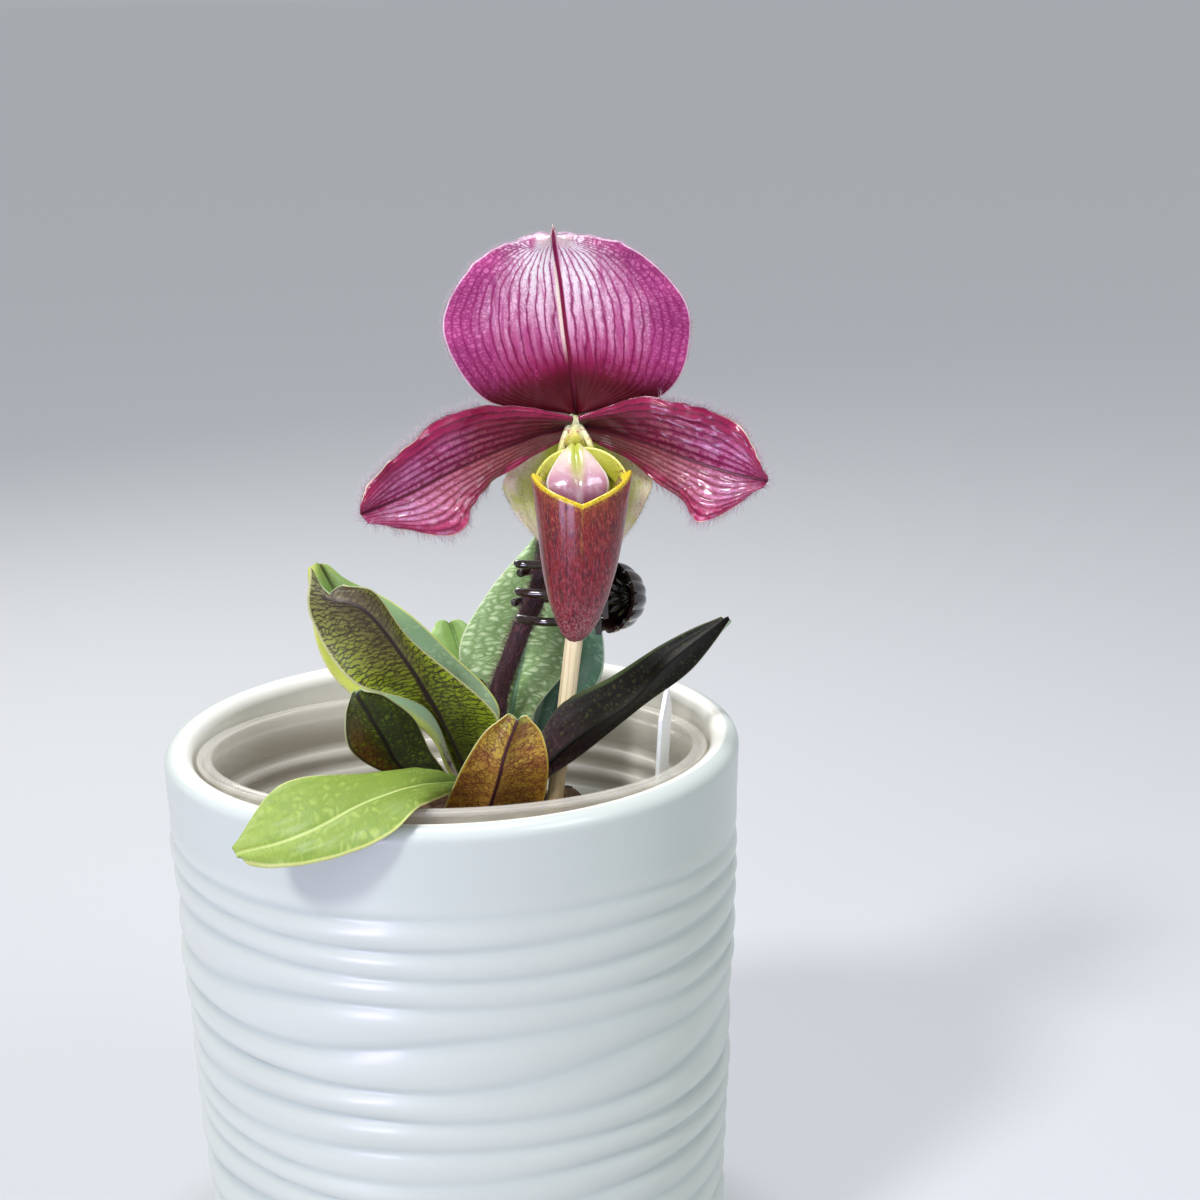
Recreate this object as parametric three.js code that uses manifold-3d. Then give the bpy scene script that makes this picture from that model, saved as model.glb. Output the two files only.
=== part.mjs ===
// Slipper orchid in flower, potted in a clear nursery pot that leans inside a rippled ceramic cover pot.
// Millimetres, +Z up. The origin is the middle of the cover pot's flat base and the flower faces -Y.
import * as THREE from "three";
import { mergeVertices } from "three/addons/utils/BufferGeometryUtils.js";
import Module from "manifold-3d";

// Cover pot
const COVER_HEIGHT = 132;
const COVER_LIP_RADIUS = 61.75;
const COVER_LIP_ROUND = 3;
const COVER_TAPER = 0.044;
const COVER_WALL = 6;
const COVER_FLOOR = 6;
const COVER_BASE_EDGE = 1.5;
const RIPPLE_FIRST_Z = 9;
const RIPPLE_PITCH = 7.2;
const RIPPLE_COUNT = 15;
const RIPPLE_DEPTH = 0.9;

// Nursery pot, measured down from its flange in its own leaning frame
const NURSERY_RIM_Z = 128.8;
const NURSERY_LEAN_BACK = -0.079;
const NURSERY_LEAN_SIDE = 0.01;
const NURSERY_FLANGE_RADIUS = 55;
const NURSERY_MOUTH_RADIUS = 51.6;
const NURSERY_SKIRT_RADIUS = 53.7;
const NURSERY_FOOT_RADIUS = 39.5;
const NURSERY_HEIGHT = 118.4;
const NURSERY_WALL = 0.9;
const NURSERY_RIDGES = 3;
const DRAIN_HOLES = 6;

// Bark
const BARK_TOP = -24;
const BARK_CHUNKS = 21;
const SEATING_GAP = 0.3;

// Crown that carries the leaves
const CROWN_CENTRE = [8.5, -5, 112];
const CROWN_SIZE = [9.5, 6.5, 10];

// Leaves and petals
const LEAF_THICKNESS = 0.9;
const PETAL_THICKNESS = 0.8;
const MIDRIB_KEEL = 0.5;

// Stick, stem and clip
const STAKE_RADIUS_TOP = 2.1;
const STAKE_RADIUS_FOOT = 1.6;
const SCAPE_RADIUS = 2;
const CLIP_PIN_X = 32.5;
const CLIP_PIN_Y = 7.5;
const CLIP_PIN_RADIUS = 0.7;
const CLIP_KNUCKLE_RADIUS = 1.8;
const CLIP_PRONG_RADIUS = 0.95;
const CLIP_SHELL_RADIUS = 7.7;
const CLIP_SHELL_DEPTH = 1.15;

const wasm = await Module();
wasm.setup();

const plant = new THREE.Group();
plant.name = "paphiopedilum_orchid";

const MATERIALS = {
  glaze: { color: "#eef0f0", roughness: 0.25, metalness: 0 },
  clearPlastic: { color: "#c9c8c2", roughness: 0.2, metalness: 0, transparent: true, opacity: 0.4 },
  bark: { color: "#5a4030", roughness: 0.95, metalness: 0 },
  root: { color: "#8b7a5c", roughness: 0.9, metalness: 0 },
  leafGreen: { color: "#7f9a3c", roughness: 0.45, metalness: 0 },
  leafGrey: { color: "#6f9377", roughness: 0.45, metalness: 0 },
  leafDark: { color: "#4a4a2a", roughness: 0.45, metalness: 0 },
  leafPurple: { color: "#3a2a30", roughness: 0.45, metalness: 0 },
  leafAmber: { color: "#a8782f", roughness: 0.45, metalness: 0 },
  stem: { color: "#43242f", roughness: 0.7, metalness: 0 },
  sepal: { color: "#b04a86", roughness: 0.5, metalness: 0 },
  petal: { color: "#9c1c52", roughness: 0.3, metalness: 0 },
  paleSepal: { color: "#c9cf9a", roughness: 0.5, metalness: 0 },
  pouch: { color: "#8c2a3c", roughness: 0.25, metalness: 0 },
  shield: { color: "#c99ab8", roughness: 0.25, metalness: 0 },
  cream: { color: "#e2e0b0", roughness: 0.45, metalness: 0 },
  bamboo: { color: "#d9b57c", roughness: 0.7, metalness: 0 },
  whitePlastic: { color: "#f2f3f3", roughness: 0.4, metalness: 0 },
  clipPlastic: { color: "#2a1b1c", roughness: 0.15, metalness: 0 },
  steel: { color: "#b9bcc0", roughness: 0.3, metalness: 1 },
};

// ---- vectors, curves and seeded chance ----

const add = (a, b, k = 1) => [a[0] + b[0] * k, a[1] + b[1] * k, a[2] + b[2] * k];
const cross = (a, b) => [a[1] * b[2] - a[2] * b[1], a[2] * b[0] - a[0] * b[2], a[0] * b[1] - a[1] * b[0]];
const unit = (a) => {
  const length = Math.hypot(...a) || 1;
  return a.map((c) => c / length);
};

// Smooth curve through every point, with u counted in points.
function along(points, u) {
  const last = points.length - 1;
  const i = Math.min(Math.floor(u), last - 1);
  const f = u - i;
  const slope = (k) => {
    const before = points[Math.max(k - 1, 0)];
    const after = points[Math.min(k + 1, last)];
    const scale = k === 0 || k === last ? 1 : 0.5;
    return after.map((c, axis) => (c - before[axis]) * scale);
  };
  const m0 = slope(i);
  const m1 = slope(i + 1);
  return points[i].map((c, axis) => {
    const d = points[i + 1][axis];
    return (
      (2 * f ** 3 - 3 * f ** 2 + 1) * c +
      (f ** 3 - 2 * f ** 2 + f) * m0[axis] +
      (3 * f ** 2 - 2 * f ** 3) * d +
      (f ** 3 - f ** 2) * m1[axis]
    );
  });
}

function chance(seed) {
  let state = seed;
  return () => {
    state = (state * 1664525 + 1013904223) % 4294967296;
    return state / 4294967296;
  };
}

// ---- solids ----

// A closed solid from points and triangles, turned to face outwards.
function solidFrom(points, triangles) {
  let sixVolumes = 0;
  for (const [a, b, c] of triangles) {
    const n = cross(points[b], points[c]);
    sixVolumes += points[a][0] * n[0] + points[a][1] * n[1] + points[a][2] * n[2];
  }
  const facing = sixVolumes < 0 ? triangles.map(([a, b, c]) => [a, c, b]) : triangles;
  const vertProperties = new Float32Array(points.flat());
  const triVerts = new Uint32Array(facing.flat());
  return new wasm.Manifold(new wasm.Mesh({ numProp: 3, vertProperties, triVerts }));
}

// The same for a three.js geometry.
function solidOf(geometry) {
  const bare = geometry.clone();
  bare.deleteAttribute("normal");
  bare.deleteAttribute("uv");
  const merged = mergeVertices(bare, 1e-4);
  const position = merged.attributes.position;
  const points = [];
  for (let i = 0; i < position.count; i++) points.push([position.getX(i), position.getY(i), position.getZ(i)]);
  const triangles = [];
  for (let i = 0; i < merged.index.count; i += 3) {
    triangles.push([merged.index.getX(i), merged.index.getX(i + 1), merged.index.getX(i + 2)]);
  }
  return solidFrom(points, triangles);
}

// Rows of points, each row a closed loop, joined row to row and capped at both ends.
function loft(rows) {
  const columns = rows[0].length;
  const points = rows.flat();
  const triangles = [];
  for (let r = 0; r < rows.length - 1; r++) {
    for (let c = 0; c < columns; c++) {
      const next = (c + 1) % columns;
      const a = r * columns + c;
      const b = r * columns + next;
      const d = a + columns;
      const e = b + columns;
      triangles.push([a, b, e], [a, e, d]);
    }
  }
  const cap = (row, start, turned) => {
    const middle = row.reduce((sum, p) => add(sum, p, 1 / columns), [0, 0, 0]);
    points.push(middle);
    const hub = points.length - 1;
    for (let c = 0; c < columns; c++) {
      const a = start + c;
      const b = start + ((c + 1) % columns);
      triangles.push(turned ? [hub, b, a] : [hub, a, b]);
    }
  };
  cap(rows[0], 0, true);
  cap(rows[rows.length - 1], (rows.length - 1) * columns, false);
  return solidFrom(points, triangles);
}

// A round bar along a smooth curve; radius(f) gives its radius from start to end.
function bar(path, radius, { rings = 12, sides = 8 } = {}) {
  const rows = [];
  let across = null;
  for (let r = 0; r <= rings; r++) {
    const u = (r / rings) * (path.length - 1);
    const here = along(path, u);
    const ahead = along(path, Math.min(u + 0.01, path.length - 1));
    const behind = along(path, Math.max(u - 0.01, 0));
    const tangent = unit(add(ahead, behind, -1));
    const hint = across ?? (Math.abs(tangent[2]) > 0.9 ? [1, 0, 0] : [0, 0, 1]);
    const up = unit(cross(tangent, hint));
    across = cross(up, tangent);
    const ring = [];
    for (let k = 0; k < sides; k++) {
      const turn = (2 * Math.PI * k) / sides;
      const size = radius(r / rings, k);
      ring.push(add(add(here, across, Math.cos(turn) * size), up, Math.sin(turn) * size));
    }
    rows.push(ring);
  }
  return loft(rows);
}

// A blade between a left and a right margin with a midrib, its two halves swelling by `swell`
// and its margins waving by `wave` millimetres. `grow` thickens it all round.
function blade(shape, grow = 0) {
  const { left, mid, right, swell = 1, wave = 0, waves = 3, thickness = LEAF_THICKNESS } = shape;
  const { keel = MIDRIB_KEEL, rows = 11, columns = 6 } = shape;
  const last = mid.length - 1;
  const upper = [];
  const lower = [];
  for (let r = 0; r < rows; r++) {
    const u = last * (1 - (1 - r / (rows - 1)) ** 1.25);
    const [l, m, n] = [left, mid, right].map((curve) => along(curve, u));
    const ahead = (curve) => add(along(curve, Math.min(u + 0.05, last)), along(curve, Math.max(u - 0.05, 0)), -1);
    const tangent = add(add(ahead(left), ahead(right)), ahead(mid));
    const across = unit(add(n, l, -1));
    const normal = unit(cross(across, unit(tangent)));
    for (let c = 0; c <= columns; c++) {
      const t = (2 * c) / columns - 1;
      const side = Math.abs(t);
      const edge = t < 0 ? l : n;
      const ripple = wave * side ** 2 * Math.sin((Math.PI * 2 * waves * r) / (rows - 1) + (t < 0 ? 0 : 1.8));
      const lift = swell * 4 * side * (1 - side) + ripple;
      const onSheet = add(add(m, add(edge, m, -1), side), normal, lift);
      const spread = add(onSheet, across, grow * t);
      const half = thickness / 2 + grow;
      const rib = Math.max(0, 1 - side * 3) * keel;
      upper.push(add(spread, normal, half - rib * 0.3));
      lower.push(add(spread, normal, -half - rib));
    }
  }
  const wide = columns + 1;
  const points = [...upper, ...lower];
  const under = upper.length;
  const triangles = [];
  for (let r = 0; r < rows - 1; r++) {
    for (let c = 0; c < columns; c++) {
      const a = r * wide + c;
      const [b, d, e] = [a + 1, a + wide, a + wide + 1];
      triangles.push([a, b, e], [a, e, d], [under + a, under + e, under + b], [under + a, under + d, under + e]);
    }
    for (const [c, turned] of [[0, true], [columns, false]]) {
      const a = r * wide + c;
      const d = a + wide;
      const strip = [[a, under + a, under + d], [a, under + d, d]];
      for (const [p, q, s] of strip) triangles.push(turned ? [p, s, q] : [p, q, s]);
    }
  }
  for (const [r, turned] of [[0, false], [rows - 1, true]]) {
    for (let c = 0; c < columns; c++) {
      const a = r * wide + c;
      const strip = [[a, under + a, under + a + 1], [a, under + a + 1, a + 1]];
      for (const [p, q, s] of strip) triangles.push(turned ? [p, s, q] : [p, q, s]);
    }
  }
  return solidFrom(points, triangles);
}

// A slab between two points of the plan, standing from z0 to z1.
function slab([x0, y0], [x1, y1], z0, z1, thickness) {
  const box = new THREE.BoxGeometry(Math.hypot(x1 - x0, y1 - y0), thickness, z1 - z0);
  box.rotateZ(Math.atan2(y1 - y0, x1 - x0));
  box.translate((x0 + x1) / 2, (y0 + y1) / 2, (z0 + z1) / 2);
  return solidOf(box);
}

const joined = (solids) => solids.reduce((all, next) => all.add(next));
const largest = (solid) => solid.decompose().reduce((a, b) => (b.volume() > a.volume() ? b : a));
const without = (solid, others) => largest(others.reduce((left, other) => left.subtract(other), solid));

// One named piece of the object.
function piece(name, solid, material) {
  const mesh = solid.getMesh();
  const positions = [];
  for (let i = 0; i < mesh.numVert; i++) {
    positions.push(...mesh.vertProperties.subarray(i * mesh.numProp, i * mesh.numProp + 3));
  }
  const geometry = new THREE.BufferGeometry();
  geometry.setAttribute("position", new THREE.Float32BufferAttribute(positions, 3));
  geometry.setIndex([...mesh.triVerts]);
  geometry.computeVertexNormals();
  const made = new THREE.Mesh(geometry, new THREE.MeshStandardMaterial(MATERIALS[material]));
  made.name = name;
  plant.add(made);
}

// ---- cover pot ----

function coverPot() {
  const segments = 32;
  const ring = (z, radius, ripple = () => [0, 0]) => {
    const row = [];
    for (let k = 0; k < segments; k++) {
      const turn = (2 * Math.PI * k) / segments;
      const [out, up] = ripple(turn);
      row.push([(radius + out) * Math.cos(turn), (radius + out) * Math.sin(turn), z + up]);
    }
    return row;
  };
  const lipZ = COVER_HEIGHT - COVER_LIP_ROUND;
  const outer = (z) => COVER_LIP_RADIUS - COVER_TAPER * (lipZ - z);
  const rows = [ring(0, outer(0) - COVER_BASE_EDGE), ring(COVER_BASE_EDGE, outer(COVER_BASE_EDGE))];
  for (let k = 0; k < RIPPLE_COUNT * 2; k++) {
    const z = RIPPLE_FIRST_Z + (k * RIPPLE_PITCH) / 2;
    const crest = k % 2 === 0 ? 1 : -1;
    const rib = Math.floor(k / 2);
    const wander = (turn) => [
      crest * RIPPLE_DEPTH * (0.6 + 0.25 * Math.sin(2 * turn + rib * 1.3) + 0.15 * Math.sin(5 * turn + rib * 2.1)),
      1.1 * Math.sin(turn + rib * 0.8) + 0.7 * Math.sin(3 * turn + rib * 1.7),
    ];
    rows.push(ring(z, outer(z), wander));
  }
  for (const degrees of [0, 30, 60, 90, 120, 150, 180]) {
    const turn = (degrees * Math.PI) / 180;
    const radius = COVER_LIP_RADIUS - COVER_LIP_ROUND + COVER_LIP_ROUND * Math.cos(turn);
    rows.push(ring(lipZ + COVER_LIP_ROUND * Math.sin(turn), radius));
  }
  for (const z of [90, 50, COVER_FLOOR + 3]) rows.push(ring(z, outer(z) - COVER_WALL));
  rows.push(ring(COVER_FLOOR, outer(COVER_FLOOR) - COVER_WALL - 3));
  return loft(rows);
}

// ---- nursery pot and its filling, drawn upright and then leant ----

const lean = new THREE.Matrix4()
  .makeTranslation(0, 0, NURSERY_RIM_Z)
  .multiply(new THREE.Matrix4().makeRotationY(NURSERY_LEAN_SIDE))
  .multiply(new THREE.Matrix4().makeRotationX(NURSERY_LEAN_BACK));

function turned(profile, segments) {
  return profile.map(([radius, z]) => {
    const row = [];
    for (let k = 0; k < segments; k++) {
      const turn = (2 * Math.PI * k) / segments;
      const at = new THREE.Vector3(radius * Math.cos(turn), radius * Math.sin(turn), z).applyMatrix4(lean);
      row.push(at.toArray());
    }
    return row;
  });
}

// Inner wall radius of the nursery pot at a depth below its flange.
function mouth(z) {
  return NURSERY_MOUTH_RADIUS + ((NURSERY_MOUTH_RADIUS - NURSERY_FOOT_RADIUS) * z) / NURSERY_HEIGHT;
}

function nurseryPot() {
  const profile = [
    [NURSERY_FOOT_RADIUS - 2, -NURSERY_HEIGHT],
    [NURSERY_FOOT_RADIUS + NURSERY_WALL, -NURSERY_HEIGHT + 2],
  ];
  const inside = [];
  for (let k = NURSERY_RIDGES; k >= 1; k--) {
    const z = -5 - k * 5;
    profile.push([mouth(z - 1.2) + NURSERY_WALL, z - 1.2], [mouth(z) + NURSERY_WALL + 0.5, z]);
    profile.push([mouth(z + 1.2) + NURSERY_WALL, z + 1.2]);
    inside.unshift([mouth(z + 1.2), z + 1.2], [mouth(z) + 0.5, z], [mouth(z - 1.2), z - 1.2]);
  }
  profile.push([NURSERY_MOUTH_RADIUS + NURSERY_WALL, -4]);
  profile.push([NURSERY_SKIRT_RADIUS, -3.4], [NURSERY_SKIRT_RADIUS, -1.4], [NURSERY_FLANGE_RADIUS, -1.2]);
  profile.push([NURSERY_FLANGE_RADIUS, -0.3], [NURSERY_FLANGE_RADIUS - 0.4, 0]);
  profile.push([NURSERY_MOUTH_RADIUS + 0.5, 0], [NURSERY_MOUTH_RADIUS, -0.5], ...inside);
  profile.push([NURSERY_FOOT_RADIUS, -NURSERY_HEIGHT + 2.4], [NURSERY_FOOT_RADIUS - 2, -NURSERY_HEIGHT + 1]);
  let pot = loft(turned(profile, 26));
  for (let k = 0; k < DRAIN_HOLES; k++) {
    const turn = (2 * Math.PI * k) / DRAIN_HOLES;
    const hole = new THREE.CylinderGeometry(3.5, 3.5, 6, 8);
    hole.rotateX(Math.PI / 2).translate(24 * Math.cos(turn), 24 * Math.sin(turn), -NURSERY_HEIGHT);
    pot = pot.subtract(solidOf(hole.applyMatrix4(lean)));
  }
  return pot;
}

function barkMix() {
  const random = chance(41);
  const gap = SEATING_GAP;
  const foot = -NURSERY_HEIGHT + 2.4;
  const plug = [
    [NURSERY_FOOT_RADIUS - 3, -NURSERY_HEIGHT + 1 + gap],
    [mouth(foot) - gap - 0.6, foot + 1],
    [mouth(BARK_TOP) - gap, BARK_TOP - 3],
    [mouth(BARK_TOP) - 5, BARK_TOP],
    [22, BARK_TOP + 3],
  ];
  let mix = loft(turned(plug, 20));
  for (let k = 0; k < BARK_CHUNKS; k++) {
    const ringRadius = 44 * Math.sqrt((k + 0.5) / BARK_CHUNKS);
    const turn = k * 2.4;
    const size = 8 + 6 * random();
    const chunk = new THREE.BoxGeometry(size * (1 + random()), size, size * 0.6);
    const corners = chunk.attributes.position;
    const nudge = Array.from({ length: 8 }, () => [random(), random(), random()].map((c) => (c - 0.5) * size * 0.35));
    for (let i = 0; i < corners.count; i++) {
      const [x, y, z] = [corners.getX(i), corners.getY(i), corners.getZ(i)];
      const corner = nudge[(x > 0 ? 1 : 0) + (y > 0 ? 2 : 0) + (z > 0 ? 4 : 0)];
      corners.setXYZ(i, x + corner[0], y + corner[1], z + corner[2]);
    }
    chunk.rotateX((random() - 0.5) * 1.2).rotateY((random() - 0.5) * 1.2).rotateZ(random() * 6.28);
    const top = BARK_TOP + 1.5 - 2.5 * (ringRadius / 44) + 1.5 * random();
    chunk.translate(ringRadius * Math.cos(turn), ringRadius * Math.sin(turn), top);
    chunk.applyMatrix4(lean);
    mix = mix.add(solidOf(chunk));
  }
  const room = [
    [NURSERY_FOOT_RADIUS - 3, -NURSERY_HEIGHT + 1 + gap],
    [mouth(foot) - gap - 0.6, foot + 1],
    [NURSERY_MOUTH_RADIUS - 1.6, -1],
  ];
  return largest(mix.intersect(loft(turned(room, 20))));
}

// ---- crown and roots ----

function crownWithRoots(grow = 0) {
  const body = new THREE.SphereGeometry(1, 12, 7);
  body.rotateX(Math.PI / 2).scale(...CROWN_SIZE.map((c) => c + grow)).translate(...CROWN_CENTRE);
  const roots = [];
  for (let k = 0; k < 4; k++) {
    const turn = 0.4 + k * 1.57;
    const reach = 22 + (k % 2) * 6;
    const [x, y, z] = CROWN_CENTRE;
    const out = (share, depth) => [x + share * reach * Math.cos(turn), y + share * reach * Math.sin(turn), z - depth];
    const path = [out(0.1, 4), out(0.45, 14), out(0.8, 32), out(0.75, 52 + 5 * (k % 3))];
    roots.push(bar(path, (f) => (2.1 - 0.9 * f) + grow, { rings: 7, sides: 5 }));
  }
  return joined([solidOf(body), ...roots]);
}

// ---- leaves ----
// Each margin and midrib runs from the crown to the tip; the last points of the three draw the notched tip.

const LEAVES = {
  leaf_front_small: {
    material: "leafAmber", swell: 1.2, wave: 0.2,
    left: [[11, -9, 114], [12, -14, 118], [17, -25, 121.5], [19, -33, 133], [18, -36, 141.5], [15, -36, 146]],
    mid: [[8, -9, 113.5], [8, -14, 118], [6.5, -26, 122], [8.5, -34, 131.5], [10.5, -36, 139], [13, -37, 145.5]],
    right: [[5, -9, 114], [4, -14, 118], [-2.5, -25, 121], [0.5, -33, 132.5], [6, -36, 142.5], [11, -36, 146.5]],
  },
  leaf_front_left: {
    material: "leafGreen", swell: 0.8, wave: 0.4,
    left: [[7, -9.5, 117], [2.5, -15, 123.5], [-6, -54.5, 134.8], [-13, -64, 132.5], [-28.5, -68, 128.5], [-39.5, -67, 129]],
    mid: [[5, -8, 116.5], [1, -13, 123.5], [-7, -42, 134], [-17.5, -52, 134.5], [-29.5, -62, 132], [-41.5, -65, 130]],
    right: [[3, -7, 117], [-0.5, -11, 125], [-7.5, -29, 133], [-18.5, -39, 136.5], [-34.5, -49, 137.5], [-42.5, -63, 130.5]],
  },
  leaf_left_small: {
    material: "leafDark", swell: 0.7, wave: 0.2,
    left: [[5, -5.5, 116], [-1.5, -7.5, 124.5], [-5, -10, 131], [-8, -14, 139.5], [-13.5, -19, 146], [-18, -22, 148.5]],
    mid: [[3, -6.5, 115.5], [-3, -9, 124], [-11, -16, 129.5], [-14.5, -20, 137.5], [-17.5, -22, 144], [-19.5, -22, 148]],
    right: [[1.5, -8, 116], [-4, -10.5, 123.5], [-14.5, -15, 128], [-21.5, -18, 134.5], [-22, -20, 142.5], [-20.5, -21, 147.5]],
  },
  leaf_left_large: {
    material: "leafDark", swell: 1.6, wave: 0.4,
    left: [[8, -4.5, 117], [5.5, -5, 125], [9.5, -7, 137], [-7.8, -10.6, 155.5], [-14.8, -12, 166.3], [-21.2, -14, 168.9]],
    mid: [[5.5, -5.5, 116.5], [2, -7.5, 126.5], [-3, -13, 139.5], [-9.5, -18, 154], [-17, -20, 165], [-25.2, -16.5, 166.8]],
    right: [[3, -6, 117], [-0.5, -7, 127], [-5.5, -15, 142], [-20.5, -14, 148], [-28.5, -12, 161.5], [-27.9, -14, 172.9]],
  },
  leaf_left_behind: {
    material: "leafGreen", swell: 1.4, wave: 0.4,
    left: [[3, -3.5, 116], [-1, -4.5, 123.5], [-6, -3, 133], [-21.5, 2, 140.5], [-28.5, 6, 150.5], [-30, 13, 166]],
    mid: [[5.5, -2.5, 115.5], [2, -3, 123.5], [-2.5, 4, 131.5], [-10.5, 10, 142.5], [-20.5, 14, 153.5], [-28, 15, 166.5]],
    right: [[8, -2, 116], [6, -1, 123.5], [10, 4, 135.5], [-0.5, 8, 148], [-12.4, 12.6, 158], [-25.2, 16, 164]],
  },
  leaf_right: {
    material: "leafPurple", swell: 1, wave: 0.3,
    left: [[15, -6.5, 113.5], [18.5, -7, 121], [28, -6, 127.5], [41, -3, 136.5], [52, 1, 143], [61.5, 6, 152.5]],
    mid: [[13.5, -5.5, 115], [17.5, -8, 123], [26.5, -9, 132], [37.5, -7, 138], [48.5, -1, 146.5], [61, 6, 153]],
    right: [[12, -4, 117], [15.5, -5, 125], [23, -2, 137], [34.5, 0, 142.5], [46.5, 4, 148.5], [59.5, 8, 153]],
  },
  leaf_back_tall: {
    material: "leafGrey", swell: 1.6, wave: 0.4,
    left: [[8.5, -2, 113], [9, 3, 119], [6.5, 9, 131], [2, 17, 144.5], [9, 26, 155.5], [20, 34, 166]],
    mid: [[11, -1.5, 112.5], [12, 3.5, 118.5], [13, 12, 131], [16.5, 22, 143], [19, 30, 155], [21.5, 35, 167]],
    right: [[13.5, -2, 113], [14.5, 3, 119], [18, 10, 131.5], [27, 18, 141.5], [29, 27, 154], [23.5, 34, 166]],
  },
  leaf_back_right: {
    material: "leafGrey", swell: 1, wave: 0.3,
    left: [[12.5, -1.5, 112], [15, 3, 118], [18, 16, 128.5], [21.5, 27, 138], [25, 34, 146], [30, 37, 149.5]],
    mid: [[14.5, -2, 111.5], [17.5, 3, 117.5], [22.5, 15, 128.5], [27.5, 26, 138], [30.5, 33, 145.5], [31.5, 36, 150.5]],
    right: [[16.5, -3.5, 112], [19.5, 1.5, 118.5], [26.5, 13, 128.5], [34, 23, 136], [35, 30, 144], [33, 36, 149.5]],
  },
  leaf_back_small: {
    material: "leafGreen", swell: 1, wave: 0.3,
    left: [[4, -2, 113], [3.5, 1, 118.5], [2, 10, 127.5], [-2.5, 21, 134.5], [-5, 29, 142.5], [-3, 34, 147]],
    mid: [[6, -1.5, 112.5], [5.5, 2, 118], [5.5, 12, 126.5], [3.5, 24, 136], [1.5, 32, 143], [0, 35, 146.5]],
    right: [[8, -1.5, 113], [7.5, 3, 118], [9.5, 13, 126], [10, 24, 135.5], [9, 31, 143], [3, 35, 146.5]],
  },
};

// ---- stem, sheath, ovary and bract ----

const SCAPE_PATH = [
  [9, -3, 112], [9.5, 2.5, 126], [10, 7, 136.2], [12.6, 7.5, 144], [16.6, 8, 153.6],
  [19, 8.5, 158], [21.4, 10, 166.6], [24, 17, 178], [25.5, 23, 186],
];
const OVARY_PATH = [[25.9, 24.2, 188], [26.8, 22.5, 195], [27.8, 14, 200], [28.4, 6.2, 199.6]];
const SHEATH = {
  swell: -0.4, thickness: 0.7, keel: 0.2, rows: 6, columns: 4,
  left: [[7.2, -1, 123], [7.2, 2.5, 131], [8, 4.1, 136.5], [7.5, 6.3, 140.3]],
  mid: [[6.6, 1, 123], [5.6, 4.6, 131], [5.8, 6.8, 136.5], [6.4, 7.6, 141]],
  right: [[7.4, 3, 123], [6.2, 7.4, 131], [7, 9.5, 136.5], [7, 8.9, 140.3]],
};
const BRACT = {
  swell: -0.6, thickness: 0.8, rows: 7,
  left: [[29.3, 22.5, 187], [30.8, 21.5, 194], [32, 17, 200.5], [29.6, 12.6, 206.3]],
  mid: [[26.2, 26.6, 186.5], [27, 26, 194], [28, 19.5, 204], [28.6, 12, 207.5]],
  right: [[22.6, 23.5, 187], [23.2, 21.5, 194], [24.2, 17, 200.5], [27.4, 12.6, 206.3]],
};

// ---- flower ----

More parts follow.
